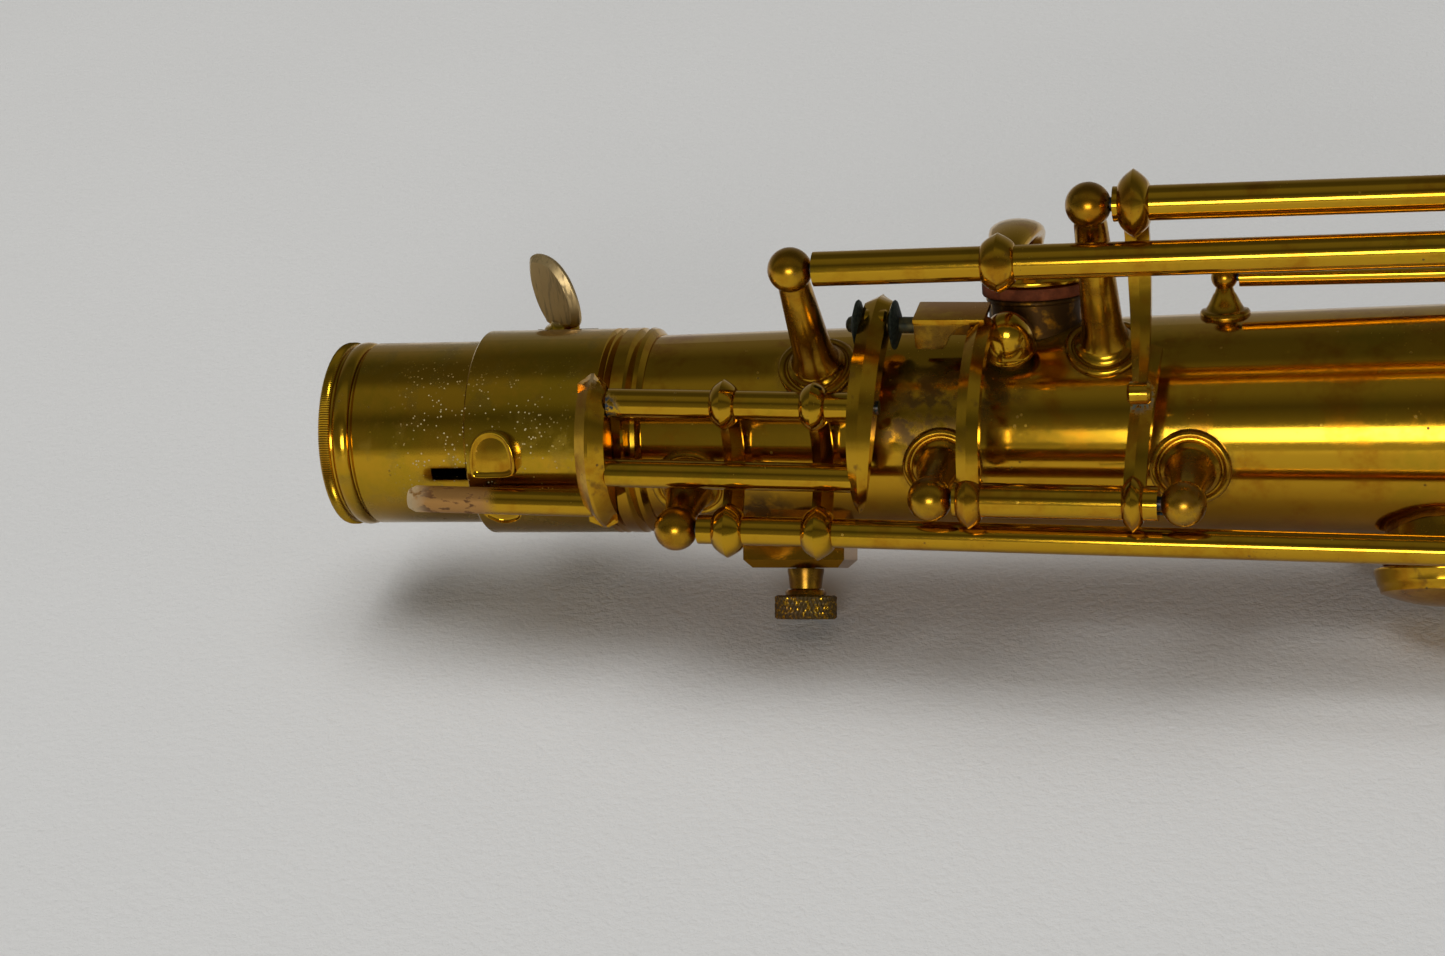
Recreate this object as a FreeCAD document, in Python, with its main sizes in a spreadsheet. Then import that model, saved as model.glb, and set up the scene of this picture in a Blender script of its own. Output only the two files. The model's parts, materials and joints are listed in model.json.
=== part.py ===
"""Upper body section of a tenor-size saxophone, as an assembly of separate pieces.

X runs along the body tube, away from the neck, Z is up and Y points away from the player's
left-hand side of the keywork.  The origin is the centre of the neck receiver's mouth.
A "bearing" is an angle around the tube: 0 points along -Y and 90 points along +Z.
"""
import FreeCAD, Part
import Sketcher
import math
import os
import re

from FreeCAD import Placement, Rotation, Vector

doc = FreeCAD.newDocument("saxophone_upper_body")

# ---------------------------------------------------------------- driving dimensions (mm, deg)
SIZES = {
    # body tube and neck receiver
    "tube_start": 20.4, "tube_end": 170.0, "tube_cone_start": 27.2, "tube_top_radius": 14.4,
    "tube_taper": 0.0211, "tube_wall": 0.9,
    "receiver_radius": 15.55, "receiver_bore": 14.0, "receiver_shoulder": 19.4,
    "slit_width": 1.6, "slit_depth": 14.0, "lug_width": 10.0, "lug_centre": 7.0,
    "lug_top": 7.0, "lug_back": 22.0, "clamp_screw_radius": 1.8, "clamp_screw_back": 18.9,
    "collar_radius": 2.85, "wing_width": 9.0, "wing_height": 12.4, "wing_thickness": 2.4,
    "ring_radius": 15.6,
    # end plug
    "plug_radius": 13.95, "plug_wall": 1.3, "plug_inner_end": 18.6, "plug_head_start": -23.9,
    "plug_head_radius": 14.15, "plug_slot_width": 2.0, "plug_slot_start": -6.1,
    # octave pin guide
    "guide_centre": 4.9, "guide_half_length": 3.6, "guide_half_width": 8.1, "guide_radius": 17.6,
    "guide_bearing": 0.7,
    # lyre holder
    "lyre_start": 40.6, "lyre_length": 15.4, "lyre_width": 10.0, "lyre_radius": 21.0,
    "lyre_bore": 2.3, "lyre_bore_centre": 18.3, "lyre_bore_depth": 13.6, "lyre_bearing": -60.0,
    "lyre_screw_centre": 49.1, "lyre_screw_radius": 1.5, "lyre_neck_radius": 2.8,
    "lyre_head_radius": 4.7, "lyre_head_start": 25.1, "lyre_head_end": 28.7,
    # posts and hinge rods
    "foot_radius": 5.7, "foot_thickness": 0.9, "shank_base": 3.0, "shank_top": 2.15,
    "ball_radius": 3.2, "small_ball_radius": 1.9, "steel_radius": 1.0, "steel_clearance": 0.06,
    "thin_steel_radius": 0.6, "end_gap": 0.25,
    # key tubes
    "slim_tube_radius": 2.1, "stout_tube_radius": 2.45, "thin_tube_radius": 1.4,
    "arm_thickness": 3.4, "arm_collar": 0.75, "leaf_reach": 4.0, "long_leaf_reach": 4.8,
    # octave mechanism, measured from the octave lever's upper post
    "octave_x": 34.2, "octave_y": -25.1, "octave_z": -3.35,
    "octave_slope_y": -0.0234, "octave_slope_z": -0.022, "octave_post_end": 159.0,
    "pivot_y": 8.2, "pivot_z": 16.1, "rocker_y": 4.35, "rocker_z": 6.65,
    "pin_y": 6.1, "pin_z": 0.45, "pin_radius": 2.0, "pin_tip": -42.9,
    "upper_plate_x": -12.4, "lower_plate_x": 28.0, "first_arm_x": 7.9, "second_arm_x": 21.2,
    "arm_lean": -1.0, "stub_y": 18.3, "stub_z": 24.4, "stub_radius": 1.2, "bumper_radius": 3.4,
    # body vent key
    "vent_x": 72.3, "vent_y": -26.9, "vent_z": 2.3, "vent_slope_y": -0.030, "vent_slope_z": -0.012,
    "vent_span": 35.6, "vent_arm_x": 5.7, "press_arm_x": 28.7, "press_arm_lean": 1.2,
    "vent_pip_x": 82.0, "vent_pip_bearing": 68.0, "vent_pip_radius": 2.6, "vent_pip_height": 18.2,
    "vent_cup_radius": 3.9, "vent_cup_depth": 4.0, "vent_pad_thickness": 1.2,
    # long side key
    "side_x": 53.5, "side_y": -16.3, "side_z": 33.3, "side_slope_y": -0.004, "side_slope_z": 0.011,
    "side_span": 108.0, "side_arm_x": 29.6, "side_hole_x": 84.5, "side_hole_bearing": 105.0,
    "side_hole_radius": 6.8, "side_rim": 19.8, "side_cup_radius": 8.0, "side_cup_depth": 2.6,
    "side_pad_thickness": 1.6,
    # long link rod with its pressing finger
    "link_x": 95.5, "link_y": -12.3, "link_z": 40.2, "link_slope_y": 0.0, "link_slope_z": 0.006,
    "link_span": 53.5, "finger_x": 6.3,
    # thin rod at the back
    "thin_x": 112.0, "thin_y": 5.2, "thin_z": 21.0, "thin_span": 39.0,
    # lower stack key
    "stack_x": 129.5, "stack_bearing": -118.0, "stack_axis": 25.0, "stack_span": 28.0,
    "stack_hole_x": 142.6, "stack_hole_bearing": -55.0, "stack_hole_radius": 8.4,
    "stack_rim": 21.0, "stack_cup_radius": 10.0, "stack_cup_depth": 2.6, "stack_arm_x": 17.0,
    "stack_pad_thickness": 1.8,
}

sheet = doc.addObject("Spreadsheet::Sheet", "Sizes")
for row, (word, value) in enumerate(SIZES.items(), start=1):
    sheet.set("A%d" % row, word)
    sheet.set("B%d" % row, str(value))
    sheet.setAlias("B%d" % row, word)
doc.recompute()

NODES = []


def size(formula):
    """Number that a formula of sheet words works out to."""
    return float(sheet.evalExpression(str(formula)))


def bind(item, prop, formula):
    """Bind one property to the sheet; plain numbers stay plain."""
    text = re.sub(r"[a-z_]+", lambda found: "Sizes." + found.group(), str(formula))
    item.setExpression(prop, text)


def primitive(kind, place, **properties):
    """Part primitive with its properties bound to sheet formulas."""
    item = doc.addObject("Part::" + kind, kind.lower())
    item.Placement = place
    for prop, formula in properties.items():
        bind(item, prop, formula)
    return item


def combine(kind, items):
    """Boolean of primitives: "MultiFuse", "MultiCommon" or "Cut" of the first by the rest."""
    if len(items) == 1:
        return items[0]
    if kind == "Cut":
        tool = combine("MultiFuse", items[1:])
        item = doc.addObject("Part::Cut", "cut")
        item.Base = items[0]
        item.Tool = tool
        return item
    item = doc.addObject("Part::" + kind, kind.lower())
    if kind == "Compound":
        item.Links = items
    else:
        item.Shapes = items
    return item


def node(label, item, place=None):
    """Name a finished piece and move it from its own frame to the shared frame."""
    item.Label = label
    if place is not None:
        item.Placement = place.multiply(item.Placement)
    NODES.append(item)
    return item


# ---------------------------------------------------------------- frames
def along_x(start, across=0.0, up=0.0):
    """Placement that lays a primitive's own Z along +X, from x = start."""
    return Placement(Vector(size(start), size(across), size(up)), Rotation(Vector(0, 1, 0), 90))


def rod_frame(prefix):
    """Frame of a hinge rod: X along the rod, origin at its upper ball."""
    if prefix == "stack":
        spoke = ray(size("stack_bearing")) * size("stack_axis")
        return Placement(Vector(size("stack_x"), spoke.y, spoke.z), Rotation())
    origin = Vector(*[size(prefix + "_" + axis) for axis in "xyz"])
    slopes = [size(prefix + "_slope_" + axis) if prefix != "thin" else 0.0 for axis in "yz"]
    return Placement(origin, Rotation(Vector(1, 0, 0), Vector(1, *slopes)))


def radial_frame(at, bearing):
    """Frame on the tube axis at x = at, with Z pointing out along a bearing."""
    return Placement(Vector(size(at), 0, 0), Rotation(Vector(1, 0, 0), 90 - size(bearing)))


def ray(bearing):
    """Unit vector that points out of the tube at a bearing, in the YZ plane."""
    angle = math.radians(bearing)
    return Vector(0, -math.cos(angle), math.sin(angle))


def tube_radius(at):
    """Outer radius of the body tube at x = at, as a sheet formula."""
    return "tube_top_radius + tube_taper * (%s - tube_cone_start)" % at


# ---------------------------------------------------------------- shared shapes
def tube(radius, bore, start, length, across=0.0, up=0.0):
    """Straight tube along X."""
    outer = primitive("Cylinder", along_x(start, across, up), Radius=radius, Height=length)
    inner = primitive("Cylinder", along_x("%s - 1" % start, across, up), Radius=bore,
                      Height="%s + 2" % length)
    return combine("Cut", [outer, inner])


def solid_rod(radius, start, length, across=0.0, up=0.0):
    return primitive("Cylinder", along_x(start, across, up), Radius=radius, Height=length)


def upright(radius, low, high):
    """Cylinder along Z between two heights."""
    return primitive("Cylinder", Placement(Vector(0, 0, size(low)), Rotation()), Radius=radius,
                     Height="(%s) - (%s)" % (high, low))


def band(centre, inner, outer, first, last, middle, thickness="arm_thickness"):
    """Flat arm bent to an arc in the YZ plane, between two bearings from its centre."""
    start = ray(first)
    turn = ray(first + 90)
    base = Vector(size(middle) + size(thickness) / 2, *centre)
    place = Placement(base, Rotation(start, turn, Vector(-1, 0, 0), "XYZ"))
    full = primitive("Cylinder", place, Radius=outer, Height=thickness, Angle=last - first)
    hollow = primitive("Cylinder", place, Radius=inner, Height=thickness, Angle=last - first)
    return combine("Cut", [full, hollow])


def chord_band(start, end, rise, width, middle, lean=0.0):
    """Arm whose centre line is the arc from start to end (y, z) that bulges by rise.

    A lean moves the end along X by that much, with the start kept in place."""
    first, last = Vector(0, *start), Vector(0, *end)
    chord = last - first
    half = chord.Length / 2
    radius = (half ** 2 + rise ** 2) / (2 * abs(rise))
    outward = Vector(0, -chord.z, chord.y) / chord.Length
    if rise < 0:
        outward = outward * -1
    centre = (first + last) / 2 - outward * (radius - abs(rise))

    def bearing(point):
        spoke = point - centre
        return math.degrees(math.atan2(spoke.z, -spoke.y))
    low, high = sorted((bearing(first), bearing(last)))
    if high - low > 180:
        low, high = high, low + 360
    flat = band((centre.y, centre.z), radius - width / 2, radius + width / 2, low, high, middle)
    swing = Rotation(outward, math.degrees(math.atan2(lean, chord.Length)))
    pivot = Vector(size(middle), first.y, first.z)
    if swing.multVec(chord).x * lean < 0:
        swing = swing.inverted()
    flat.Placement = Placement(pivot - swing.multVec(pivot), swing)
    return flat


def lens(start, end, rise, back_rise, middle, thickness="arm_thickness"):
    """Pointed oval plate between two tips (y, z), with a bulge on each side of its chord."""
    first, last = Vector(0, *start), Vector(0, *end)
    chord = last - first
    outward = Vector(0, -chord.z, chord.y) / chord.Length
    discs = []
    for bulge, side in ((rise, 1), (back_rise, -1)):
        radius = ((chord.Length / 2) ** 2 + bulge ** 2) / (2 * bulge)
        centre = (first + last) / 2 - outward * side * (radius - bulge)
        discs.append(primitive("Cylinder", along_x(
            "%s - %s / 2" % (middle, thickness), centre.y, centre.z),
            Radius=radius, Height=thickness))
    return combine("MultiCommon", discs)


def turned(label, outline):
    """Body of revolution about X from an outline of (x, radius) sheet formulas."""
    body = doc.addObject("PartDesign::Body", label + "_body")
    sketch = body.newObject("Sketcher::SketchObject", label + "_outline")
    plane = [part for part in body.Origin.OriginFeatures if part.Role == "XZ_Plane"][0]
    sketch.AttachmentSupport = (plane, "")
    sketch.MapMode = "FlatFace"
    points = [Vector(size(at), size(radius), 0) for at, radius in outline]
    for index, point in enumerate(points):
        sketch.addGeometry(Part.LineSegment(point, points[(index + 1) % len(points)]), False)
    for index, (at, radius) in enumerate(outline):
        after = (index + 1) % len(points)
        sketch.addConstraint(Sketcher.Constraint("Coincident", index, 2, after, 1))
        for kind, formula, value in (("DistanceX", at, points[index].x),
                                     ("DistanceY", radius, points[index].y)):
            number = sketch.addConstraint(Sketcher.Constraint(kind, -1, 1, index, 1, value))
            bind(sketch, "Constraints[%d]" % number, formula)
    turn = body.newObject("PartDesign::Revolution", label + "_turn")
    turn.Profile = sketch
    turn.ReferenceAxis = (sketch, ["H_Axis"])
    turn.Angle = 360
    doc.recompute()
    return body


def post(label, frame, distance, steel="steel_radius", ball="ball_radius", foot="foot_radius",
         base="shank_base", top="shank_top"):
    """Ball post that holds a hinge rod at a distance along the rod's frame."""
    spot = frame.multVec(Vector(size(distance), 0, 0))
    height = "%.4f" % math.hypot(spot.y, spot.z)
    bearing = math.degrees(math.atan2(spot.z, -spot.y))
    place = radial_frame("%.4f" % spot.x, bearing)
    surface = "(%s)" % tube_radius("%.4f" % spot.x)
    flange = upright(foot, surface + " - 3", surface + " + foot_thickness")
    shank = primitive("Cone", Placement(Vector(0, 0, size(surface + " - 2")), Rotation()),
                      Radius1=base, Radius2=top, Height="%s + 2 - %s" % (height, surface))
    knob = primitive("Sphere", Placement(Vector(0, 0, size(height)), Rotation()), Radius=ball)
    tube_wall = primitive("Cone", along_x(-12), Height=24, Radius1=surface + " - 12 * tube_taper",
                          Radius2=surface + " + 12 * tube_taper")
    hole = primitive("Cylinder", Placement(), Radius=steel, Height=12)
    hole.Placement = place.inverse().multiply(frame).multiply(along_x(size(distance) - 6))
    whole = combine("MultiFuse", [flange, shank, knob])
    return node(label, combine("Cut", [whole, tube_wall, hole]), place)


# ---------------------------------------------------------------- tube, receiver, plug
def body_tube():
    """Conical body tube with its two tone holes cut through the wall."""
    top, taper_end = "tube_top_radius", tube_radius("tube_end")
    tube_body = turned("tube_shell", [
        ("tube_start", top), ("tube_cone_start", top), ("tube_end", taper_end),
        ("tube_end", taper_end + " - tube_wall"), ("tube_cone_start", top + " - tube_wall"),
        ("tube_start", top + " - tube_wall")])
    holes = []
    for at, bearing, radius in (("side_hole_x", "side_hole_bearing", "side_hole_radius - 0.8"),
                                ("stack_hole_x", "stack_hole_bearing", "stack_hole_radius - 0.8"),
                                ("vent_pip_x", "vent_pip_bearing", "vent_pip_radius - 0.9")):
        hole = upright(radius, 5, 30)
        hole.Placement = radial_frame(at, bearing).multiply(hole.Placement)
        holes.append(hole)
    node("body_tube", combine("Cut", [tube_body] + holes))


def neck_receiver():
    """Receiver sleeve with its shoulder, clamping slit and pair of screw lugs."""
    sleeve = turned("sleeve", [
        (0, "receiver_bore"), (0, "receiver_radius - 0.25"), (0.25, "receiver_radius"),
        ("tube_start", "receiver_radius"), ("tube_start", "tube_top_radius - tube_wall"),
        ("receiver_shoulder", "tube_top_radius - tube_wall"),
        ("receiver_shoulder", "receiver_bore")])
    lug = primitive("Box", Placement(Vector(size("lug_centre - lug_width / 2"), size("14.6"),
                                            size("-lug_top")), Rotation()),
                    Length="lug_width", Width="lug_back - 14.6", Height="2 * lug_top")
    slit = primitive("Box", Placement(Vector(-1, 12, size("-slit_width / 2")), Rotation()),
                     Length="slit_depth + 1", Width=12, Height="slit_width")
    screw_way = primitive("Cylinder", Placement(
        Vector(size("lug_centre"), size("clamp_screw_back"), -20), Rotation()),
        Radius="clamp_screw_radius", Height=40)
    bore = primitive("Cylinder", along_x(-1), Radius="receiver_bore", Height=18)
    whole = combine("MultiFuse", [sleeve, lug])
    node("neck_receiver", combine("Cut", [whole, slit, screw_way, bore]))


def receiver_rings():
    """Turned bands that cover the joint between the receiver and the tube."""
    outline = [("tube_start", "tube_top_radius"), ("tube_start", "ring_radius")]
    at = 20.4
    for width, rise in ((0.5, -0.7), (0.5, 0.0), (0.6, -0.8), (0.5, 0.0), (1.9, 0.0), (0.9, -0.9),
                        (0.6, 0.0), (0.6, -0.2), (0.7, -1.0)):
        at += width
        outline.append(("%.2f" % at, "ring_radius + %.2f" % rise))
    outline.append(("%.2f" % at, "tube_top_radius"))
    node("receiver_rings", turned("rings", outline))


def end_plug():
    """Plug that fills the receiver: slotted skirt, and a head with a milled edge."""
    inner = "plug_radius - plug_wall"
    skirt = turned("skirt", [
        (-18.7, 0), (-18.7, "plug_radius - 0.4"), (-18.2, "plug_radius"),
        ("plug_inner_end", "plug_radius"), ("plug_inner_end", inner), (-16.7, inner), (-16.7, 0)])
    slot = primitive("Box", Placement(Vector(size("plug_slot_start"), -20,
                                             size("-plug_slot_width / 2")), Rotation()),
                     Length=40, Width=10, Height="plug_slot_width")
    node("end_plug_skirt", combine("Cut", [skirt, slot]))
    head = "plug_head_radius"
    start = "plug_head_start"
    node("end_plug_head", turned("head", [
        (start + " + 0.5", 0), (start + " + 0.3", head + " - 3"), (start, head + " - 1.2"),
        (start, head + " - 0.3"), (start + " + 0.2", head), (start + " + 1.5", head),
        (start + " + 1.8", head + " - 0.3"), (start + " + 2.3", head), (start + " + 4.2", head),
        (start + " + 4.7", head + " - 0.5"), (-18.7, head + " - 0.6"), (-18.7, 0)]))


def receiver_thumbscrew():
    """Clamp screw with a collar and a flat leaf-shaped wing."""
    centre = Vector(size("lug_centre"), size("clamp_screw_back"), 0)
    stem = upright("clamp_screw_radius", "-lug_top - 1", "lug_top + 0.5")
    collar = upright("collar_radius", "lug_top + 0.15", "lug_top + 2.1")
    leaf = primitive("Cylinder", Placement(
        Vector(0, size("wing_thickness / 2"), size("lug_top + 1.6 + wing_height / 2")),
        Rotation(Vector(1, 0, 0), 90)), Radius="wing_height / 2", Height="wing_thickness")
    sides = primitive("Box", Placement(
        Vector(size("-wing_width / 2"), -5, size("lug_top + 1")), Rotation()),
        Length="wing_width", Width=10, Height="wing_height + 2")
    wing = combine("MultiCommon", [leaf, sides])
    node("receiver_thumbscrew", combine("MultiFuse", [stem, collar, wing]),
         Placement(centre, Rotation(Vector(0, 0, 1), -25)))


def octave_pin_guide():
    """Oval saddle on the receiver with a channel where the octave pin passes."""
    place = radial_frame("guide_centre", "guide_bearing")
    oval = primitive("Cylinder", Placement(Vector(0, 0, 0), Rotation()),
                     Radius="guide_half_width", Height=24)
    length = primitive("Box", Placement(Vector(size("-guide_half_length"), -12, 5), Rotation()),
                       Length="2 * guide_half_length", Width=24, Height=19)
    skin = tube("guide_radius", "receiver_radius", -10, 20)
    channel = solid_rod("pin_radius + 0.9", -10, 20)
    channel.Placement = place.inverse().multiply(rod_frame("octave")).multiply(
        along_x(-42, "pin_y", "pin_z"))
    shell = combine("MultiCommon", [oval, length, skin])
    node("octave_pin_guide", combine("Cut", [shell, channel]), place)


def lyre_holder():
    """Block with the lyre socket along X, and the thumbscrew that grips the lyre."""
    place = radial_frame("lyre_start", "lyre_bearing")
    block = primitive("Box", Placement(Vector(0, size("-lyre_width / 2"), 10), Rotation()),
                      Length="lyre_length", Width="lyre_width", Height="lyre_radius - 10")
    trimmed = doc.addObject("Part::Chamfer", "chamfered_block")
    trimmed.Base = block
    doc.recompute()
    top = size("lyre_radius")
    edges = [number for number, edge in enumerate(block.Shape.Edges, start=1)
             if all(abs(corner.Point.z - top) < 1e-6 for corner in edge.Vertexes)]
    trimmed.Edges = [(number, 1.2, 1.2) for number in edges]
    surface = "(%s)" % tube_radius("lyre_start + lyre_length / 2")
    seat = primitive("Cone", along_x(-12), Height="lyre_length + 24",
                     Radius1=surface + " - (12 + lyre_length / 2) * tube_taper",
                     Radius2=surface + " + (12 + lyre_length / 2) * tube_taper")
    socket = solid_rod("lyre_bore", -1, "lyre_bore_depth + 1", 0, "lyre_bore_centre")
    centre = size("lyre_screw_centre - lyre_start")
    hole = upright("lyre_screw_radius", "lyre_bore_centre", 30)
    hole.Placement = Placement(Vector(centre, 0, 0), Rotation()).multiply(hole.Placement)
    node("lyre_block", combine("Cut", [trimmed, seat, socket, hole]), place)
    tip = upright("lyre_screw_radius - 0.03", "lyre_bore_centre + lyre_bore + 0.05",
                  "lyre_radius + 1")
    neck = primitive("Cone", Placement(Vector(0, 0, size("lyre_radius + 0.1")), Rotation()),
                     Radius1="lyre_neck_radius", Radius2="lyre_neck_radius - 0.4",
                     Height="lyre_head_start - lyre_radius")
    head = upright("lyre_head_radius", "lyre_head_start", "lyre_head_end")
    node("lyre_screw", combine("MultiFuse", [tip, neck, head]),
         radial_frame("lyre_screw_centre", "lyre_bearing"))


# ---------------------------------------------------------------- shared key pieces
def posts_and_steel(key, prefix, distance, **options):
    """Two ball posts and the steel hinge rod between them."""
    frame = rod_frame(prefix)
    post(key + "_upper_post", frame, 0, **options)
    post(key + "_lower_post", frame, distance, **options)
    reach = "ball_radius - 0.4" if "ball" not in options else options["ball"] + " - 0.3"
    steel = options.get("steel", "steel_radius")
    node(key + "_hinge_rod", solid_rod(steel, "-(%s)" % reach, "%s + 2 * (%s)"
                                       % (distance, reach)), frame)
    return frame


def hinge_tube(label, frame, radius, distance, ball="ball_radius", steel="steel_radius"):
    """Key tube that turns on the steel between two posts."""
    gap = "%s + end_gap" % ball
    node(label, tube(radius, steel + " + steel_clearance", gap, "%s - 2 * (%s)"
                     % (distance, gap)), frame)


def arm(label, frame, hubs, plates, bores, trims=()):
    """Key arm: hub discs and curved plates fused, then bored for the tubes they carry.

    Trims are finished neighbours that the arm is fitted against."""
    rims = [solid_rod(radius, "%s - arm_thickness / 2" % at, "arm_thickness", across, up)
            for at, across, up, radius in hubs]
    holes = [solid_rod(radius, "%s - 8" % at, 16, across, up)
             for at, across, up, radius in bores]
    whole = combine("Cut", [combine("MultiFuse", rims + plates)] + holes)
    whole.Placement = frame
    return node(label, combine("Cut", [whole] + list(trims)) if trims else whole)


def tone_hole(label, at, bearing, radius, rim):
    """Chimney that stands on the body tube, with a rolled rim."""
    place = radial_frame(at, bearing)
    surface = "(%s)" % tube_radius(at)
    wall = upright(radius, "10", rim)
    bead = primitive("Torus", Placement(Vector(0, 0, size(rim + " - 0.45")), Rotation()),
                     Radius1=radius + " - 0.1", Radius2=0.45)
    hole = upright(radius + " - 0.8", 5, rim + " + 5")
    seat = primitive("Cone", along_x(-14), Height=28, Radius1=surface + " - 14 * tube_taper",
                     Radius2=surface + " + 14 * tube_taper")
    node(label, combine("Cut", [combine("MultiFuse", [wall, bead]), hole, seat]), place)


def pad_and_cup(key, frame, at, bearing, radius, rim, depth, pad):
    """Key cup, open towards the tone hole, and the leather pad that it holds."""
    place = frame.inverse().multiply(radial_frame(at, bearing))
    outside = primitive("Cone", Placement(Vector(0, 0, size(rim + " + 0.35")), Rotation()),
                        Radius1=radius, Radius2=radius + " * 0.95", Height=depth)
    dome = primitive("Sphere", Placement(Vector(0, 0, size("%s + 0.35 + %s - 2.1 * %s"
                     % (rim, depth, radius))), Rotation()), Radius=radius + " * 2.36")
    crown = combine("MultiCommon", [dome, upright(radius + " * 0.9", rim + " + 0.5",
                                                  "%s + %s * 0.3 + %s" % (rim, radius, depth))])
    pocket = upright(radius + " - 0.7", 5, "%s + 0.1 + %s" % (rim, pad))
    cup = combine("Cut", [combine("MultiFuse", [outside, crown]), pocket])
    shell = node(key + "_cup", cup, frame.multiply(place))
    disc = upright(radius + " - 0.75", rim + " + 0.05", "%s + 0.05 + %s" % (rim, pad))
    return [shell, node(key + "_pad", disc, frame.multiply(place))]


# ---------------------------------------------------------------- octave mechanism
def octave_lever():
    """Cradle on the long lower tube: two arms that carry the rocker's pivot tube."""
    frame = posts_and_steel("octave_lever", "octave", "octave_post_end - octave_x")
    hinge_tube("octave_lever_tube", frame, "slim_tube_radius", "octave_post_end - octave_x")
    pivot = ("pivot_y", "pivot_z")
    for label, at in (("octave_cradle_first_arm", "first_arm_x"),
                      ("octave_cradle_second_arm", "second_arm_x")):
        plate = chord_band((0, 0), (size("pivot_y"), size("pivot_z")), -4.8, 2.2, at,
                           size("arm_lean"))
        arm(label, frame,
            [(at, 0, 0, "leaf_reach"),
             (at + " + arm_lean", pivot[0], pivot[1], "leaf_reach - 0.3")], [plate],
            [(at, 0, 0, "slim_tube_radius"), (at, pivot[0], pivot[1], "slim_tube_radius")])
    start = "upper_plate_x + arm_thickness / 2 + end_gap"
    length = "lower_plate_x - upper_plate_x - arm_thickness - 2 * end_gap"
    node("octave_pivot_tube", tube("slim_tube_radius", "steel_radius + steel_clearance", start,
                                   length, *pivot), frame)
    return frame


def octave_rocker(frame):
    """Rocker on the pivot tube: two plates, a cross rod, the octave pin and a bumper stub."""
    pivot, rod, pin = (("pivot_y", "pivot_z"), ("rocker_y", "rocker_z"), ("pin_y", "pin_z"))
    first, last = "upper_plate_x", "lower_plate_x"
    upper = lens((6.6, -3.85), (9.6, 20.15), 7.0, 0.6, first)
    arm("octave_rocker_upper_plate", frame,
        [(first, pivot[0], pivot[1], "slim_tube_radius + 0.5"),
         (first, rod[0], rod[1], "slim_tube_radius + 0.4"),
         (first, pin[0], pin[1], "pin_radius")], [upper],
        [(first, pivot[0], pivot[1], "steel_radius")])
    centre = (size("-octave_y"), size("-octave_z"))
    lower = band(centre, "19.4", "24.4", 1, 84, last)
    arm("octave_rocker_lower_plate", frame,
        [(last, pivot[0], pivot[1], "slim_tube_radius + 0.5"),
         (last, rod[0], rod[1], "slim_tube_radius + 0.4"),
         (last, "stub_y", "stub_z", "stub_radius + 1")], [lower],
        [(last, pivot[0], pivot[1], "steel_radius"), (last, "stub_y", "stub_z", "stub_radius")])
    half = "arm_thickness / 2"
    node("octave_rocker_rod", solid_rod(
        "slim_tube_radius", "%s + %s" % (first, half), "%s - %s - arm_thickness" % (last, first),
        *rod), frame)
    node("octave_rocker_steel", solid_rod(
        "steel_radius", "%s - %s" % (first, half), "%s - %s + arm_thickness" % (last, first),
        *pivot), frame)
    shaft = solid_rod("pin_radius", "pin_tip + 1", "%s - %s - pin_tip - 1" % (first, half), *pin)
    tip = primitive("Cone", along_x("pin_tip", *pin), Radius1="pin_radius - 0.5",
                    Radius2="pin_radius", Height=1)
    node("octave_pin", combine("MultiFuse", [shaft, tip]), frame)
    node("octave_bumper_stub", solid_rod("stub_radius", "%s - 5.6" % last, 14.0, "stub_y",
                                         "stub_z"), frame)
    washers = [tube("bumper_radius", "stub_radius", "%s %s" % (last, start), 2.0, "stub_y",
                    "stub_z") for start in ("- arm_thickness / 2 - 2.2", "+ arm_thickness / 2 + 0.2")]
    node("octave_bumper_washers", combine("Compound", washers), frame)


# ---------------------------------------------------------------- body vent key
def vent_key():
    """Key over the body's octave vent, with the channel that the rocker lifts."""
    frame = posts_and_steel("vent_key", "vent", "vent_span")
    hinge_tube("vent_key_tube", frame, "stout_tube_radius", "vent_span")
    tone_hole("vent_pip", "vent_pip_x", "vent_pip_bearing", "vent_pip_radius", "vent_pip_height")
    fitted = pad_and_cup("vent_key", frame, "vent_pip_x", "vent_pip_bearing", "vent_cup_radius",
                         "vent_pip_height", "vent_cup_depth", "vent_pad_thickness")
    corner = Vector(size("68.3 - vent_x"), size("-10.4 - vent_y"), size("17.6 - vent_z"))
    outside = primitive("Box", Placement(corner, Rotation()), Length=8.3, Width=5.8, Height=5.0)
    inside = primitive("Box", Placement(corner + Vector(-1, 0.9, -1), Rotation()),
                       Length=8.4, Width=4.0, Height=5.1)
    channel = node("vent_key_channel", combine("Cut", [outside, inside]), frame)
    hub, bored = "leaf_reach + 0.1", "stout_tube_radius"
    top = (size("-7.5 - vent_y"), size("20.4 - vent_z"))
    lift = chord_band((0, 0), top, 6.0, 3.8, "vent_arm_x")
    arm("vent_key_cup_arm", frame, [("vent_arm_x", 0, 0, hub)], [lift],
        [("vent_arm_x", 0, 0, bored)], fitted + [channel])
    reach = (size("-10.4 - vent_y"), size("17.9 - vent_z"))
    press = chord_band((0, 0), reach, 2.0, 3.8, "press_arm_x", size("press_arm_lean"))
    arm("vent_key_press_arm", frame, [("press_arm_x", 0, 0, hub)], [press],
        [("press_arm_x", 0, 0, bored)])


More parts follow.
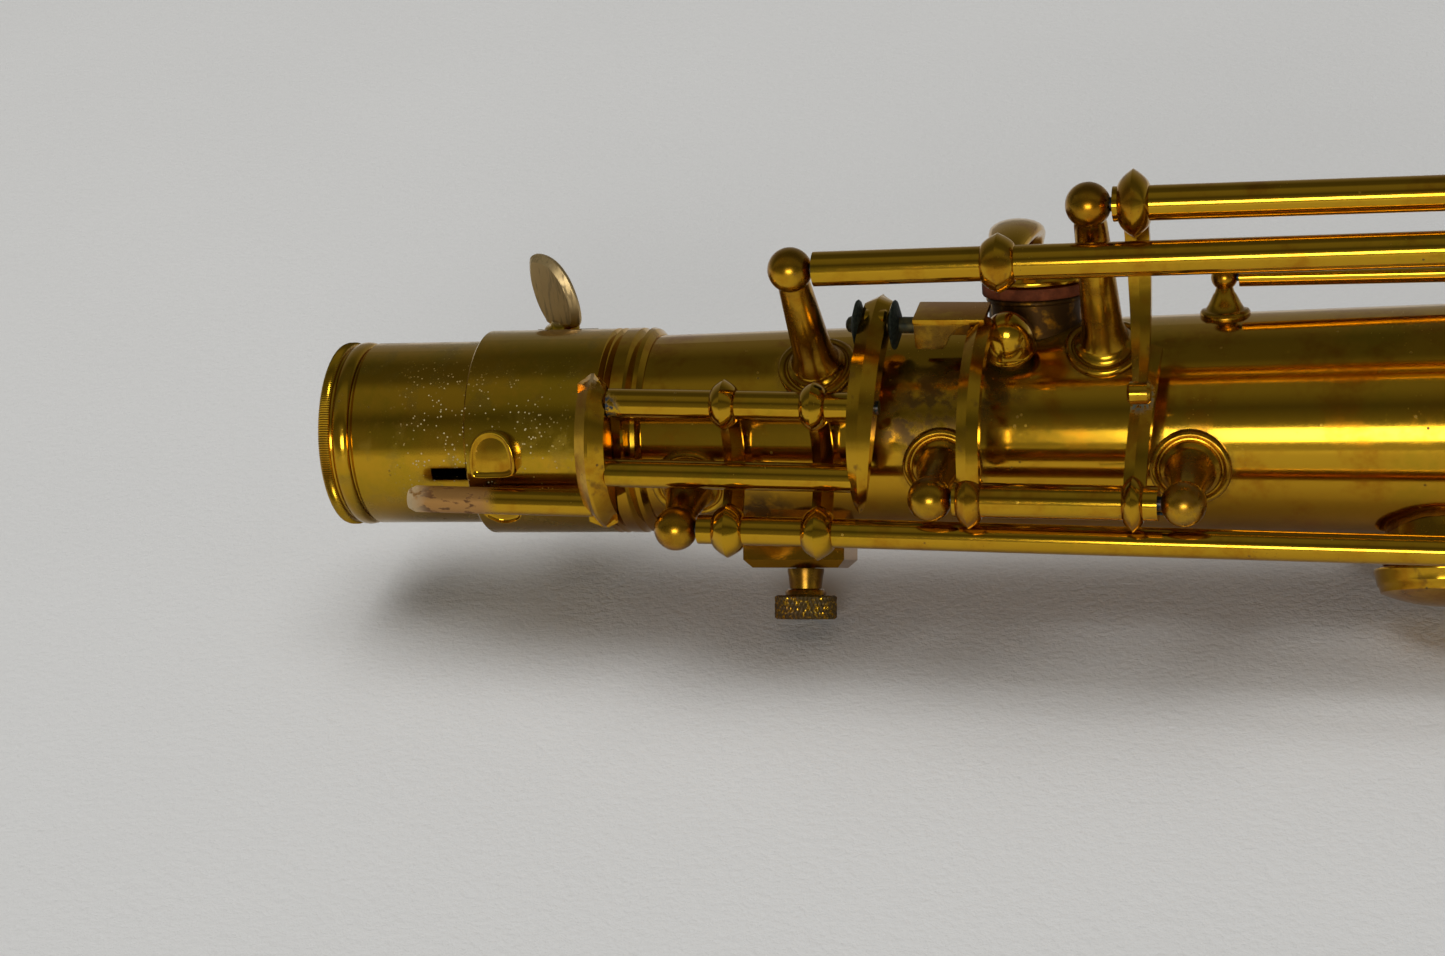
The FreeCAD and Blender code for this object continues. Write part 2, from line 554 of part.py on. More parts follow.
# ---------------------------------------------------------------- long side key
def side_key():
    """Long trill key: tube, an arm that arches over it, cup and pad on a drawn tone hole."""
    frame = posts_and_steel("side_key", "side", "side_span")
    hinge_tube("side_key_tube", frame, "stout_tube_radius", "side_span")
    tone_hole("side_tone_hole", "side_hole_x", "side_hole_bearing", "side_hole_radius", "side_rim")
    fitted = pad_and_cup("side_key", frame, "side_hole_x", "side_hole_bearing",
                         "side_cup_radius", "side_rim", "side_cup_depth", "side_pad_thickness")
    landing = ray(size("side_hole_bearing")) * size("side_rim + 0.35 + side_cup_depth + 1.2")
    end = (landing.y - frame.Base.y, landing.z - frame.Base.z)
    arch = chord_band((0, 0), end, 4.4, 3.4, "side_arm_x")
    arm("side_key_arm", frame, [("side_arm_x", 0, 0, "leaf_reach + 0.2")], [arch],
        [("side_arm_x", 0, 0, "stout_tube_radius")], fitted)


# ---------------------------------------------------------------- link rod with finger
def link_rod():
    """High link rod whose finger holds the vent key down."""
    frame = posts_and_steel("link_rod", "link", "link_span")
    hinge_tube("link_rod_tube", frame, "stout_tube_radius", "link_span")
    finger = chord_band((0, 0), (-9.2, -24.4), 5.0, 2.6, "finger_x")
    arm("link_rod_finger", frame, [("finger_x", 0, 0, "long_leaf_reach"),
                                   ("finger_x", -9.2, -24.4, "1.6")], [finger],
        [("finger_x", 0, 0, "stout_tube_radius")])


# ---------------------------------------------------------------- thin rod, stack key
def thin_rod():
    """Thin key rod at the back, carried by two short flared posts."""
    options = dict(ball="small_ball_radius", steel="thin_steel_radius", base="2.7", top="1.2",
                   foot="3.6")
    frame = posts_and_steel("thin_rod", "thin", "thin_span", **options)
    hinge_tube("thin_rod_tube", frame, "thin_tube_radius", "thin_span", "small_ball_radius",
               "thin_steel_radius")


def stack_key():
    """Pad key below the tube, with an arm that wraps around from its own hinge."""
    frame = posts_and_steel("stack_key", "stack", "stack_span")
    hinge_tube("stack_key_tube", frame, "slim_tube_radius", "stack_span")
    tone_hole("stack_tone_hole", "stack_hole_x", "stack_hole_bearing", "stack_hole_radius",
              "stack_rim")
    fitted = pad_and_cup("stack_key", frame, "stack_hole_x", "stack_hole_bearing",
                         "stack_cup_radius", "stack_rim", "stack_cup_depth",
                         "stack_pad_thickness")
    centre = (-frame.Base.y, -frame.Base.z)
    wrap = band(centre, "23.4", "26.6", size("stack_bearing"), size("stack_hole_bearing") - 23.7,
                "stack_arm_x")
    arm("stack_key_arm", frame, [("stack_arm_x", 0, 0, "slim_tube_radius + arm_collar")], [wrap],
        [("stack_arm_x", 0, 0, "slim_tube_radius")], fitted)


# ---------------------------------------------------------------- build, check, write
def check_all():
    """Stop when any object failed or any sub-part has no valid solid."""
    for item in doc.Objects:
        if "Invalid" in item.State or "Error" in item.State:
            raise RuntimeError("%s (%s) failed: %s" % (item.Name, item.Label, item.State))
    for item in NODES:
        shape = item.Shape
        if shape.isNull() or not shape.isValid() or not shape.Solids:
            raise RuntimeError("%s has no valid solid" % item.Label)


def main():
    body_tube()
    neck_receiver()
    receiver_rings()
    end_plug()
    receiver_thumbscrew()
    octave_pin_guide()
    lyre_holder()
    octave_rocker(octave_lever())
    vent_key()
    side_key()
    link_rod()
    thin_rod()
    stack_key()
    doc.recompute()
    check_all()
    os.makedirs("parts", exist_ok=True)
    for item in NODES:
        item.Shape.exportStep("parts/%s.step" % item.Label)
        box = item.Shape.BoundBox
        print("%-28s solids %d  volume %9.2f  x %.1f..%.1f  z %.1f..%.1f" % (
            item.Label, len(item.Shape.Solids), item.Shape.Volume, box.XMin, box.XMax, box.ZMin,
            box.ZMax))


main()
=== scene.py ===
"""Visible pieces of a saxophone's upper body section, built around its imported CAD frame."""
import json
import math

import bmesh
import bpy
from bpy.props import FloatProperty, FloatVectorProperty, IntProperty, PointerProperty
from bpy.types import Operator, Panel, PropertyGroup
from mathutils import Euler, Matrix, Vector


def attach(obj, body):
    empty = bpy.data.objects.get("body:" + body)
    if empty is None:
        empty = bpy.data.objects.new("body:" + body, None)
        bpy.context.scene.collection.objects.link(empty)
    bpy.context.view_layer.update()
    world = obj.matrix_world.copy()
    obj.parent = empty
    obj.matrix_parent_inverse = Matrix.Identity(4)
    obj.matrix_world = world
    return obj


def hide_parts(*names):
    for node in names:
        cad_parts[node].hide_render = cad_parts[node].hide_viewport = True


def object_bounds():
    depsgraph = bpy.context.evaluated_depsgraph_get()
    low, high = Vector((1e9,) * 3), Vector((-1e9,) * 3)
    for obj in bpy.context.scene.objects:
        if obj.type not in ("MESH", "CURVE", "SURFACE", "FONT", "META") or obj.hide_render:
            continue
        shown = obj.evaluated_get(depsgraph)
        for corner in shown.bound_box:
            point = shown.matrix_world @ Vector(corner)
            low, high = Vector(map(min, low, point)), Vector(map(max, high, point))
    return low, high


bl_info = {
    "name": "Woodwind Body Top",
    "version": (1, 0, 0),
    "blender": (4, 5, 0),
    "location": "3D View > Sidebar > Body Top",
    "description": "Builds the visible pieces of a brass woodwind body section around its frame",
    "category": "Add Mesh",
}

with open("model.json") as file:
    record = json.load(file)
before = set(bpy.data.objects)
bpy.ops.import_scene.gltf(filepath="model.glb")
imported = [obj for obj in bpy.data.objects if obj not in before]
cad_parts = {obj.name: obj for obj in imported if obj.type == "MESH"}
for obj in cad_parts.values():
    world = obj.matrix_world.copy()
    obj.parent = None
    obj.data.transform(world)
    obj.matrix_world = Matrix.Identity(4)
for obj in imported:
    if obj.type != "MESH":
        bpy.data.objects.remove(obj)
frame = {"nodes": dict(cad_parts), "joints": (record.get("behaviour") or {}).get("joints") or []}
CAD_BOX = [list(corner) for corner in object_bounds()]
NODES = frame["nodes"]
JOINTS = {joint["name"]: joint for joint in frame["joints"]}
MM = 0.001
ALONG = Vector((1, 0, 0))


# ---- sizes, in millimetres
# the tube's radius, where it starts to widen, and by how much in a millimetre
TUBE_RADIUS, CONE_START, CONE_SLOPE = 14.4, 27.2, 0.0211
# rods by key; the last, thin one has no slotted ends
ROD_LENGTHS = {"octave_lever": 124.8, "vent_key": 35.6, "side_key": 108.0, "link_rod": 53.5,
               "stack_key": 28.0, "thin_rod": 39.0}
# radius inside an arm's hub, on a thick and on a slim hinge tube
KEY_BORE, SLIM_BORE = 2.45, 2.1
# middle of the rocker's bumpers, in the octave lever's rod frame
BUMPER = (28.0, 18.3, 24.4)
# each hole's place along the tube and bearing
VENT_HOLE, SIDE_HOLE, STACK_HOLE = (82.0, 68.0), (84.5, 105.0), (142.6, -55.0)
# a post's foot: height above the tube, radius, and how closely the height follows the tube
FOOT = ((-0.5, 5.5, 1), (0.1, 5.75, 1), (0.5, 5.78, 1), (0.85, 5.55, 1), (0.95, 5.2, 1),
        (0.8, 4.85, 1), (0.5, 4.65, 1), (0.5, 4.45, 1), (0.85, 4.3, 1), (1.12, 4.0, 1),
        (1.25, 3.7, 1), (1.7, 3.45, 0.8), (2.9, 3.15, 0.4), (4.1, 2.9, 0))
SMALL_FOOT = ((-0.5, 3.4, 1), (0.1, 3.6, 1), (0.45, 3.6, 1), (0.8, 3.35, 1), (0.85, 3.0, 1),
              (0.9, 2.75, 1), (1.7, 2.3, 0.5), (3.0, 1.65, 0))
# grey of the room, from straight ahead over the top to straight behind
ROOM_LEVELS = ((0.0, 0.50), (0.04, 0.16), (0.16, 0.14), (0.24, 0.07), (0.33, 0.19), (0.46, 0.22),
               (0.53, 0.09), (0.68, 0.08), (0.78, 0.15), (0.9, 0.24), (1.0, 0.3))


# ---- places, in millimetres
def rod_frame(hinge):
    """Frame of a hinge rod: X along it, origin at its upper ball."""
    joint = JOINTS[hinge]
    turn = ALONG.rotation_difference(Vector(joint["axis"]))
    return Matrix.Translation(Vector(joint["pos_m"]) / MM) @ turn.to_matrix().to_4x4()


def ray(bearing):
    """Direction out of the tube's axis; 0 faces the octave lever and 90 is up."""
    angle = math.radians(bearing)
    return Vector((0, -math.cos(angle), math.sin(angle)))


def radial_frame(at, bearing):
    """Frame on the tube's axis whose X points out along a bearing and Y along the tube."""
    out = ray(bearing)
    side = out.cross(ALONG)
    turn = Matrix((out, ALONG, side)).transposed()
    return Matrix.Translation((at, 0, 0)) @ turn.to_4x4()


def shifted(place, x=0.0, y=0.0, z=0.0):
    """A frame moved along its own axes."""
    return place @ Matrix.Translation((x, y, z))


def arc(start, end, rise, steps=24):
    """Points and outward normals, in the YZ plane, of an arc that bulges by rise."""
    first, last = Vector(start), Vector(end)
    chord = last - first
    along = chord.normalized()
    radius = ((chord.length / 2) ** 2 + rise ** 2) / (2 * abs(rise))
    outward = Vector((-along.y, along.x)) * math.copysign(1, rise)
    centre = (first + last) / 2 - outward * (radius - abs(rise))
    full = 2 * math.asin(chord.length / 2 / radius)
    points = []
    for step in range(steps + 1):
        angle = full * (step / steps - 0.5)
        spoke = outward * math.cos(angle) + along * math.sin(angle)
        points.append((centre + spoke * radius, spoke))
    return points


def ring_arc(centre, radius, low, high, steps):
    """Points and normals, in the YZ plane, of an arc about a centre between two bearings."""
    spokes = [ray(low + (high - low) * step / steps).yz for step in range(steps + 1)]
    return [(Vector(centre) + spoke * radius, spoke) for spoke in spokes]


# ---- mesh shapes
def bridge(bm, rows, closed=False, capped=False):
    """Quads between rows of vertices; a row of one vertex is a pole."""
    for low, high in zip(rows, rows[1:] + (rows[:1] if closed else [])):
        count = max(len(low), len(high))
        for step in range(count):
            corners = dict.fromkeys((low[step % len(low)], low[(step + 1) % len(low)],
                                     high[(step + 1) % len(high)], high[step % len(high)]))
            if len(corners) > 2:
                bm.faces.new(list(corners))
    if capped:
        bm.faces.new(rows[0])
        bm.faces.new(rows[-1])


def turn(bm, place, outline, steps=72, closed=False, ripple=None, sink=None):
    """Revolve an outline of (along, radius) points about a frame's X axis; returns the rows.

    Ripple changes a point's radius, and sink lowers it by how far it lies across."""
    rows = []
    for number, (along, radius) in enumerate(outline):
        if radius < 1e-6:
            rows.append([bm.verts.new(place @ Vector((along, 0, 0)))])
            continue
        row = []
        for step in range(steps):
            angle = 2 * math.pi * step / steps
            reach = radius + (ripple(number, along, angle) if ripple else 0)
            across = reach * math.sin(angle)
            height = along - (sink(number, across) if sink else 0)
            row.append(bm.verts.new(place @ Vector((height, reach * math.cos(angle), across))))
        rows.append(row)
    bridge(bm, rows, closed=closed)
    return rows


def sweep(bm, place, path, x, width, thickness, ridge=0.9, lean=0.0):
    """Ridged bar, or an oval one if ridge is 0, along a path in a frame's YZ plane.

    Width lies in the plane and thickness along X; both are functions of the way along."""
    rows = []
    for number, (point, normal) in enumerate(path):
        way = number / (len(path) - 1)
        half, thick = width(way) / 2, thickness(way) / 2
        step = min(ridge, half * 0.8)
        centre = Vector((x + lean * way, point.x, point.y))
        out = Vector((0, normal.x, normal.y))
        section = [(0, half), (thick, half - step), (thick, step - half), (0, -half),
                   (-thick, step - half), (-thick, half - step)]
        if not ridge:
            section = [(thick * math.sin(math.pi * part / 10), half * math.cos(math.pi * part / 10))
                       for part in range(20)]
        rows.append([bm.verts.new(place @ (centre + ALONG * along + out * across))
                     for along, across in section])
    bridge(bm, rows, capped=True)


def plate(bm, place, outline, x, thick, edge, inset):
    """Flat plate of an outline of (y, z) points whose rim is bevelled on both faces."""
    middle = sum(outline, Vector((0, 0))) / len(outline)
    inner = []
    for number, point in enumerate(outline):
        along = (outline[(number + 1) % len(outline)] - outline[number - 1]).normalized()
        inward = Vector((-along.y, along.x))
        if inward.dot(middle - point) < 0:
            inward = -inward
        toward = (middle - point).normalized()
        inner.append(point + (inward * 0.6 + toward * 0.4).normalized() * inset)
    rows = [[bm.verts.new(place @ Vector((x + along, *point))) for point in ring]
            for ring, along in ((inner, -thick / 2), (outline, -edge / 2), (outline, edge / 2),
                                (inner, thick / 2))]
    bridge(bm, rows, capped=True)


def hub(bm, place, bore, reach, thick):
    """Almond-shaped arm hub around a rod: full at the bore, with a keen rim."""
    inner = bore - 0.1
    half = [(thick / 2 * (1 - (step / 12) ** 1.75), inner + (reach - inner) * step / 12)
            for step in range(13)]
    outline = [(-along, radius) for along, radius in half] + half[-2::-1]
    turn(bm, place, outline, closed=True)


def prism(bm, place, outline, across, depth):
    """Straight wall whose (x, z) outline is carried along Y from across, by a depth."""
    rows = [[bm.verts.new(place @ Vector((x, y, z))) for x, z in outline]
            for y in (across, across + depth)]
    bridge(bm, rows, capped=True)


def rounded(points, between=5):
    """Smooth closed outline through points."""
    count, outline = len(points), []
    for number in range(count):
        before, start, end, after = (Vector(points[(number + step) % count])
                                     for step in (-1, 0, 1, 2))
        for step in range(between):
            way = step / between
            outline.append(0.5 * (2 * start + (end - before) * way
                                  + (2 * before - 5 * start + 4 * end - after) * way ** 2
                                  + (3 * start - before - 3 * end + after) * way ** 3))
    return outline


def add_piece(name, bm, body, look, replaced=(), sharp=32, bevel=0.0):
    """Finish a mesh made in millimetres: normals, edges, finish and the body it rides on."""
    bmesh.ops.recalc_face_normals(bm, faces=bm.faces)
    if bevel:
        edges = [edge for edge in bm.edges if edge.calc_face_angle(0) > math.radians(30)]
        bmesh.ops.bevel(bm, geom=edges, offset=bevel, segments=2, affect="EDGES", profile=0.6)
    for face in bm.faces:
        face.smooth = True
    for edge in bm.edges:
        edge.smooth = edge.calc_face_angle(0) <= math.radians(sharp)
    mesh = bpy.data.meshes.new(name)
    bm.to_mesh(mesh)
    bm.free()
    mesh.transform(Matrix.Scale(MM, 4))
    mesh.materials.append(finish(look))
    item = bpy.data.objects.new(name, mesh)
    bpy.context.collection.objects.link(item)
    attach(item, body)
    if replaced:
        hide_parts(*replaced)


def turned_piece(name, place, body, look, outline, replaced=(), sharp=32, steps=64, ripple=None):
    """Piece that is one turned outline."""
    bm = bmesh.new()
    turn(bm, place, outline, steps, ripple=ripple)
    add_piece(name, bm, body, look, replaced, sharp)


def finish_node(look, *names):
    """Give CAD nodes that stay in view a finish."""
    for name in names:
        for place in NODES[name].material_slots:
            place.material = finish(look)


# ---- finishes
class Value:
    """A socket of a material, with arithmetic that adds Math nodes."""

    def __init__(self, graph, socket):
        self.graph = graph
        self.socket = socket

    def math(self, operation, *values):
        """Math node of that operation on values."""
        return self.graph.node("ShaderNodeMath", {"operation": operation},
                               dict(enumerate(values)), 0)

    def __add__(self, other):
        return self.math("ADD", self, other)

    def __sub__(self, other):
        return self.math("SUBTRACT", self, other)

    def __rsub__(self, other):
        return self.math("SUBTRACT", other, self)

    def __mul__(self, other):
        return self.math("MULTIPLY", self, other)

    __radd__ = __add__
    __rmul__ = __mul__

    def smooth(self, low, high):
        """0 below low and 1 above high, with a soft step between."""
        if low > high:
            return 1 - self.smooth(high, low)
        return self.graph.node("ShaderNodeMapRange", {"interpolation_type": "SMOOTHSTEP"},
                               {"Value": self, "From Min": low, "From Max": high}, "Result")


class Graph:
    """Node tree of one finish, or of the room. A brass keeps its look so far in it."""

    def __init__(self, name, world=None):
        self.material = world or bpy.data.materials.new(name)
        self.material.use_nodes = True
        self.tree = self.material.node_tree
        self.tree.nodes.clear()
        self.place = self.node("ShaderNodeTexCoord", {}, {}, "Generated" if world else "Object")
        self.colour = self.rough = self.metal = None

    def node(self, kind, settings, inputs, output=None):
        """Add a node: its settings first, then values or links by socket; returns one output."""
        made = self.tree.nodes.new(kind)
        for word, value in settings.items():
            if word == "stops":
                self.set_stops(made.color_ramp.elements, value)
            else:
                setattr(made, word, value)
        for key, value in inputs.items():
            socket = made.inputs[key] if isinstance(key, int) else next(
                one for one in made.inputs if key in (one.identifier, one.name))
            if isinstance(value, Value):
                self.tree.links.new(value.socket, socket)
            else:
                socket.default_value = value
        return made if output is None else Value(self, made.outputs[output])

    def set_stops(self, elements, stops):
        """Ramp stops given as (position, grey level)."""
        elements.remove(elements[-1])
        for number, (position, level) in enumerate(stops):
            stop = elements[0] if number == 0 else elements.new(position)
            stop.position = position
            stop.color = (level, level, level * 0.97, 1)

    def noise(self, scale, detail, stretch=None):
        """Noise of so many waves in a metre, stretched along axes if asked."""
        place = self.place
        if stretch:
            place = self.node("ShaderNodeVectorMath", {"operation": "MULTIPLY"},
                              {0: place, 1: stretch}, 0)
        return self.node("ShaderNodeTexNoise", {}, {
            "Vector": place, "Scale": scale, "Detail": detail, "Roughness": 0.55}, 0)

    def cells(self, scale):
        """Distance to scattered points, so many in a metre."""
        return self.node("ShaderNodeTexVoronoi", {}, {"Vector": self.place, "Scale": scale},
                         "Distance")

    def near(self, point, reach, soft):
        """1 at a point given in millimetres and 0 beyond its reach."""
        gap = self.node("ShaderNodeVectorMath", {"operation": "DISTANCE"},
                        {0: self.place, 1: Vector(point) * MM}, "Value")
        return gap.smooth(reach * MM, reach * MM * (1 - soft))

    def axis(self, word):
        """One coordinate of the shared frame, in metres."""
        return self.node("ShaderNodeSeparateXYZ", {}, {"Vector": self.place}, word)

    def mix(self, factor, *colours):
        """Colour between two colours, each a Value or red, green and blue."""
        first, second = (one if isinstance(one, Value) else (*one[:3], 1.0) for one in colours)
        return self.node("ShaderNodeMix", {"data_type": "RGBA"}, {
            "Factor_Float": factor, "A_Color": first, "B_Color": second}, 2)

    def bump(self, height, distance):
        """Normal of a height field of that depth in millimetres."""
        return self.node("ShaderNodeBump", {}, {
            "Height": height, "Distance": distance * MM}, "Normal")

    def stain_and_shade(self, mask, tone, roughness, metallic):
        """Lay one tone over the brass so far; the marks use it for real stains and for painted
        shade.
        """
        self.colour = self.mix(mask, self.colour, tone)
        self.rough = self.rough + mask * (roughness - 0.2)
        self.metal = self.metal - mask * (1 - metallic)

    def finish(self, **sockets):
        """Close the tree with its shader; sockets are given with _ for each blank."""
        shader = self.node("ShaderNodeBsdfPrincipled", {}, {
            word.replace("_", " "): value for word, value in sockets.items()}, "BSDF")
        self.node("ShaderNodeOutputMaterial", {}, {"Surface": shader})
        return self.material


def aged_brass(name, tint, dull, marks=None, lines=0.0):
    """Lacquered brass with age: olive and red-brown clouds, pits, dull patches, and marks.

    Tint leans it from olive (-1) to red-brown (1). Marks adds local stains, and for some finishes
    painted shade, to the graph."""
    look = bpy.context.scene.brass_finish
    graph = Graph(name)
    cloud = graph.noise(62, 4)
    drift = graph.noise(150, 5)
    grain = graph.noise(900, 4)
    fine = graph.noise(5200, 2)
    olive = (cloud + grain * 0.25).smooth(0.66 + tint * 0.25, 0.82 + tint * 0.25)
    brown = (drift + grain * 0.3).smooth(0.64 - tint * 0.22, 0.94 - tint * 0.22)
    colour = graph.mix(olive * 0.7, look.gold, look.olive)
    colour = graph.mix(brown * look.age, colour, look.brown)
    spots = graph.cells(560).smooth(0.16, 0.07) * graph.noise(210, 2).smooth(0.56, 0.66)
    pits = graph.cells(1500).smooth(0.16, 0.08) * graph.noise(120, 2).smooth(0.5, 0.66)
    dark = spots * 0.75 + pits * 0.5
    graph.colour = graph.mix(dark, colour, look.oxide)
    graph.rough = (grain * 0.04 + brown * 0.06 + dark * 0.4 + fine * 0.05
                   + (look.roughness - 0.06 + dull * 0.25))
    graph.metal = 1 - dark * 0.35
    if marks:
        marks(graph)
    height = fine * 0.25 + grain * 0.6 - pits * 1.2
    if lines:
        height = height + graph.noise(700, 2, stretch=(8, 0.2, 0.2)) * lines
    return graph.finish(Base_Color=graph.colour, Metallic=graph.metal, Roughness=graph.rough,
                        Coat_Weight=0.035, Coat_Roughness=0.12,
                        Normal=graph.bump(height, 0.0006))


def tube_marks(graph):
    """Painted shade: a red-brown darkening of the underside. Dark patches at listed spots, and dark
    rings where posts and tone holes are soldered on.
    """
    # painted shade: below the axis the tube turns red-brown, for the shade on its underside
    under = graph.axis("Z").smooth(0.004, -0.010)
    graph.colour = graph.mix(under * 0.7, graph.colour, (0.30, 0.125, 0.006))
    edges = graph.noise(1100, 4).smooth(0.42, 0.6)
    # dark patches at listed spots on the tube
    dark_patch = graph.noise(420, 5).smooth(0.36, 0.58) * 0.85
    for at, bearing, reach in ((71.0, 40, 9.5), (79.0, 48, 8.5), (57.0, 52, 6.0), (66.0, 26, 5.5),
                               (44.0, -32, 8.0)):
        mask = graph.near(ALONG * at + ray(bearing) * 15.2, reach, 0.75) * dark_patch
        graph.stain_and_shade(mask, (0.055, 0.026, 0.006), 0.4, 0.8)
    for at, bearing, reach in ((34.2, -7.6, 7.2), (53.5, 64, 7.4), (72.3, 5, 7.2),
                               (107.9, 4, 7.0), (84.5, 105, 9.6), (95.5, 73, 7.2)):
        mask = graph.near(ALONG * at + ray(bearing) * 15.4, reach, 0.3) * (edges * 0.5 + 0.25)
        graph.stain_and_shade(mask, (0.10, 0.045, 0.012), 0.42, 0.75)


def plug_marks(graph):
    """White flecks and worn haze along the plug and the receiver, and painted shade: a red-brown
    darkening of the underside.
    """
    zone = graph.axis("X").smooth(-0.014, -0.006) * graph.axis("X").smooth(0.019, 0.008)
    side = graph.axis("Z").smooth(-0.006, 0.001) * graph.axis("Z").smooth(0.015, 0.010)
    fleck = graph.cells(1500).smooth(0.24, 0.16) * graph.noise(300, 3).smooth(0.42, 0.52)
    graph.stain_and_shade(fleck * zone * side * 0.8, (0.62, 0.55, 0.36), 0.6, 0.15)
    # painted shade: the underside is darkened to red-brown, for the shade that falls there
    under = graph.axis("Z").smooth(0.003, -0.008) * 0.6
    graph.stain_and_shade(under, (0.20, 0.11, 0.008), 0.3, 1)
    haze = graph.noise(300, 4).smooth(0.5, 0.66) * 0.4
    graph.stain_and_shade(haze, (0.30, 0.20, 0.03), 0.4, 0.95)


def pin_marks(graph):
    """Bare copper-coloured wear on the octave pin and its pale tip."""
    worn = graph.axis("X").smooth(0.006, 0.003)
    crack = graph.noise(900, 4, stretch=(0.5, 1, 1)).smooth(0.55, 0.62)
    graph.stain_and_shade(worn * 0.9, (0.42, 0.21, 0.065), 0.55, 0.75)
    graph.stain_and_shade(worn * crack, (0.16, 0.07, 0.02), 0.6, 0.6)
    tip = graph.axis("X").smooth(-0.0045, -0.0085) * graph.noise(700, 3).smooth(0.34, 0.5)
    graph.stain_and_shade(tip, (0.50, 0.37, 0.20), 0.6, 0.4)


def crevice_marks(graph):
    """Blue-black oxide at the ends of the key tubes and specks of it beside the arms."""
    rust = graph.noise(1300, 4).smooth(0.4, 0.56)
    for spot, reach in (((24.2, -18.5, 13.2), 2.6), ((25.5, -20.9, 9.8), 2.2),
                        ((38.4, -25.1, -3.4), 1.2), ((108.0, -28.0, 1.9), 3.6),
                        ((99.0, -12.3, 40.2), 2.6), ((60.5, -17.0, 12.3), 1.8)):
        graph.stain_and_shade(graph.near(spot, reach, 0.55) * rust, (0.018, 0.028, 0.036), 0.55, 0.4)


def post_marks(graph):
    """Browned lacquer on the posts, with grime in the turned grooves."""
    film_and_shade = graph.noise(260, 4).smooth(0.3, 0.62) * 0.65
    graph.stain_and_shade(film_and_shade, (0.24, 0.115, 0.008), 0.3, 1)
    crevice_marks(graph)


def worn_marks(graph):
    """Matte bare tips on the rocker's plates and grime in the bevels."""
    tips = graph.near((22.2, -15.4, 17.2), 3.2, 0.6) * graph.noise(800, 3).smooth(0.35, 0.55)
    graph.stain_and_shade(tips, (0.40, 0.27, 0.12), 0.55, 0.8)
    grime_and_shade = graph.noise(420, 5).smooth(0.56, 0.72) * 0.6
    graph.stain_and_shade(grime_and_shade, (0.14, 0.06, 0.012), 0.35, 0.85)


def channel_painted_shade(graph):
    """Painted shade and dark reflection on the channel's walls: a brown darkening, thin along the
    roof.
    """
    film_and_shade = graph.noise(380, 4).smooth(0.3, 0.6) * 0.4 + 0.45
    wall = graph.axis("Z").smooth(0.0218, 0.0212)
    graph.stain_and_shade(film_and_shade * wall, (0.10, 0.045, 0.006), 0.3, 0.9)


def cork_marks(graph):
    """Grey worn patch where the link's finger rests on the press arm."""
    patch = graph.near((101.6, -20.0, 15.0), 3.4, 0.45) * graph.noise(1500, 3).smooth(0.38, 0.55)
    graph.stain_and_shade(patch, (0.12, 0.13, 0.09), 0.8, 0.2)


def wing_marks(graph):
    """Matte beige face of the clamp screw's wing, with scratches."""
    scratch = graph.noise(1400, 3, stretch=(1, 1, 0.15)).smooth(0.5, 0.62)
    face = graph.axis("Z").smooth(0.0094, 0.0104)
    graph.stain_and_shade(face * 0.8, (0.55, 0.42, 0.22), 0.5, 0.8)
    graph.stain_and_shade(face * scratch * 0.5, (0.20, 0.13, 0.05), 0.5, 0.8)


def under_cup_painted_shade(graph):
    """Painted shade: a brown-black darkening of the tone hole in the shade under a cup."""
    # painted shade over most of the hole
    dark_patch = graph.noise(500, 4).smooth(0.2, 0.5) * 0.9
    graph.stain_and_shade(dark_patch, (0.035, 0.018, 0.008), 0.5, 0.95)


def knurl_painted_shade(graph):
    """Painted shade: the knurled head darkened nearly to black, for the shadow under the tube."""
    # painted shade: the knurled head is darkened nearly to black, for the shadow it lies in
    grime_and_shade = graph.noise(1600, 4).smooth(0.36, 0.5) * 0.85
    graph.stain_and_shade(grime_and_shade, (0.012, 0.010, 0.007), 0.7, 0.2)


def leather(name):
    """Pad leather: red-brown, soft creases, worn dark rim."""
    graph = Graph(name)
    mottle = graph.noise(420, 5)
    crease = graph.cells(1700)
    colour = graph.mix(mottle.smooth(0.36, 0.66), bpy.context.scene.brass_finish.pad,
                       (0.10, 0.026, 0.010))
    colour = graph.mix(crease.smooth(0.3, 0.1) * 0.4, colour, (0.07, 0.022, 0.01))
    return graph.finish(Base_Color=colour, Specular_IOR_Level=0.08, Roughness=mottle * 0.2 + 0.6,
                        Normal=graph.bump(crease + mottle, 0.06))


def blued_steel(name):
    """Oiled blue-black steel with rust at its ends."""
    graph = Graph(name)
    cloud = graph.noise(900, 4)
    rust = cloud.smooth(0.52, 0.68)
    colour = graph.mix(rust, (0.030, 0.044, 0.052), (0.10, 0.045, 0.02))
    return graph.finish(Base_Color=colour, Metallic=1 - rust * 0.6, Roughness=cloud * 0.3 + 0.18,
                        Normal=graph.bump(graph.noise(2500, 2), 0.01))


def dark_stub(name):
    """Smooth olive-black coating on the bumper's stub."""
    graph = Graph(name)
    film_and_shade = graph.noise(700, 3)
    colour = graph.mix(film_and_shade.smooth(0.4, 0.62), (0.028, 0.030, 0.018), (0.075, 0.062, 0.025))
    return graph.finish(Base_Color=colour, Metallic=film_and_shade * 0.5 + 0.5, Roughness=film_and_shade * 0.2 + 0.3)


def cork(name):
    """Dark felted cork bumper."""
    graph = Graph(name)
    speck = graph.noise(2400, 4)
    colour = graph.mix(speck.smooth(0.4, 0.65), (0.004, 0.006, 0.004), (0.020, 0.024, 0.015))
    return graph.finish(Base_Color=colour, Specular_IOR_Level=0.2, Roughness=0.6,
                        Normal=graph.bump(speck, 0.12))


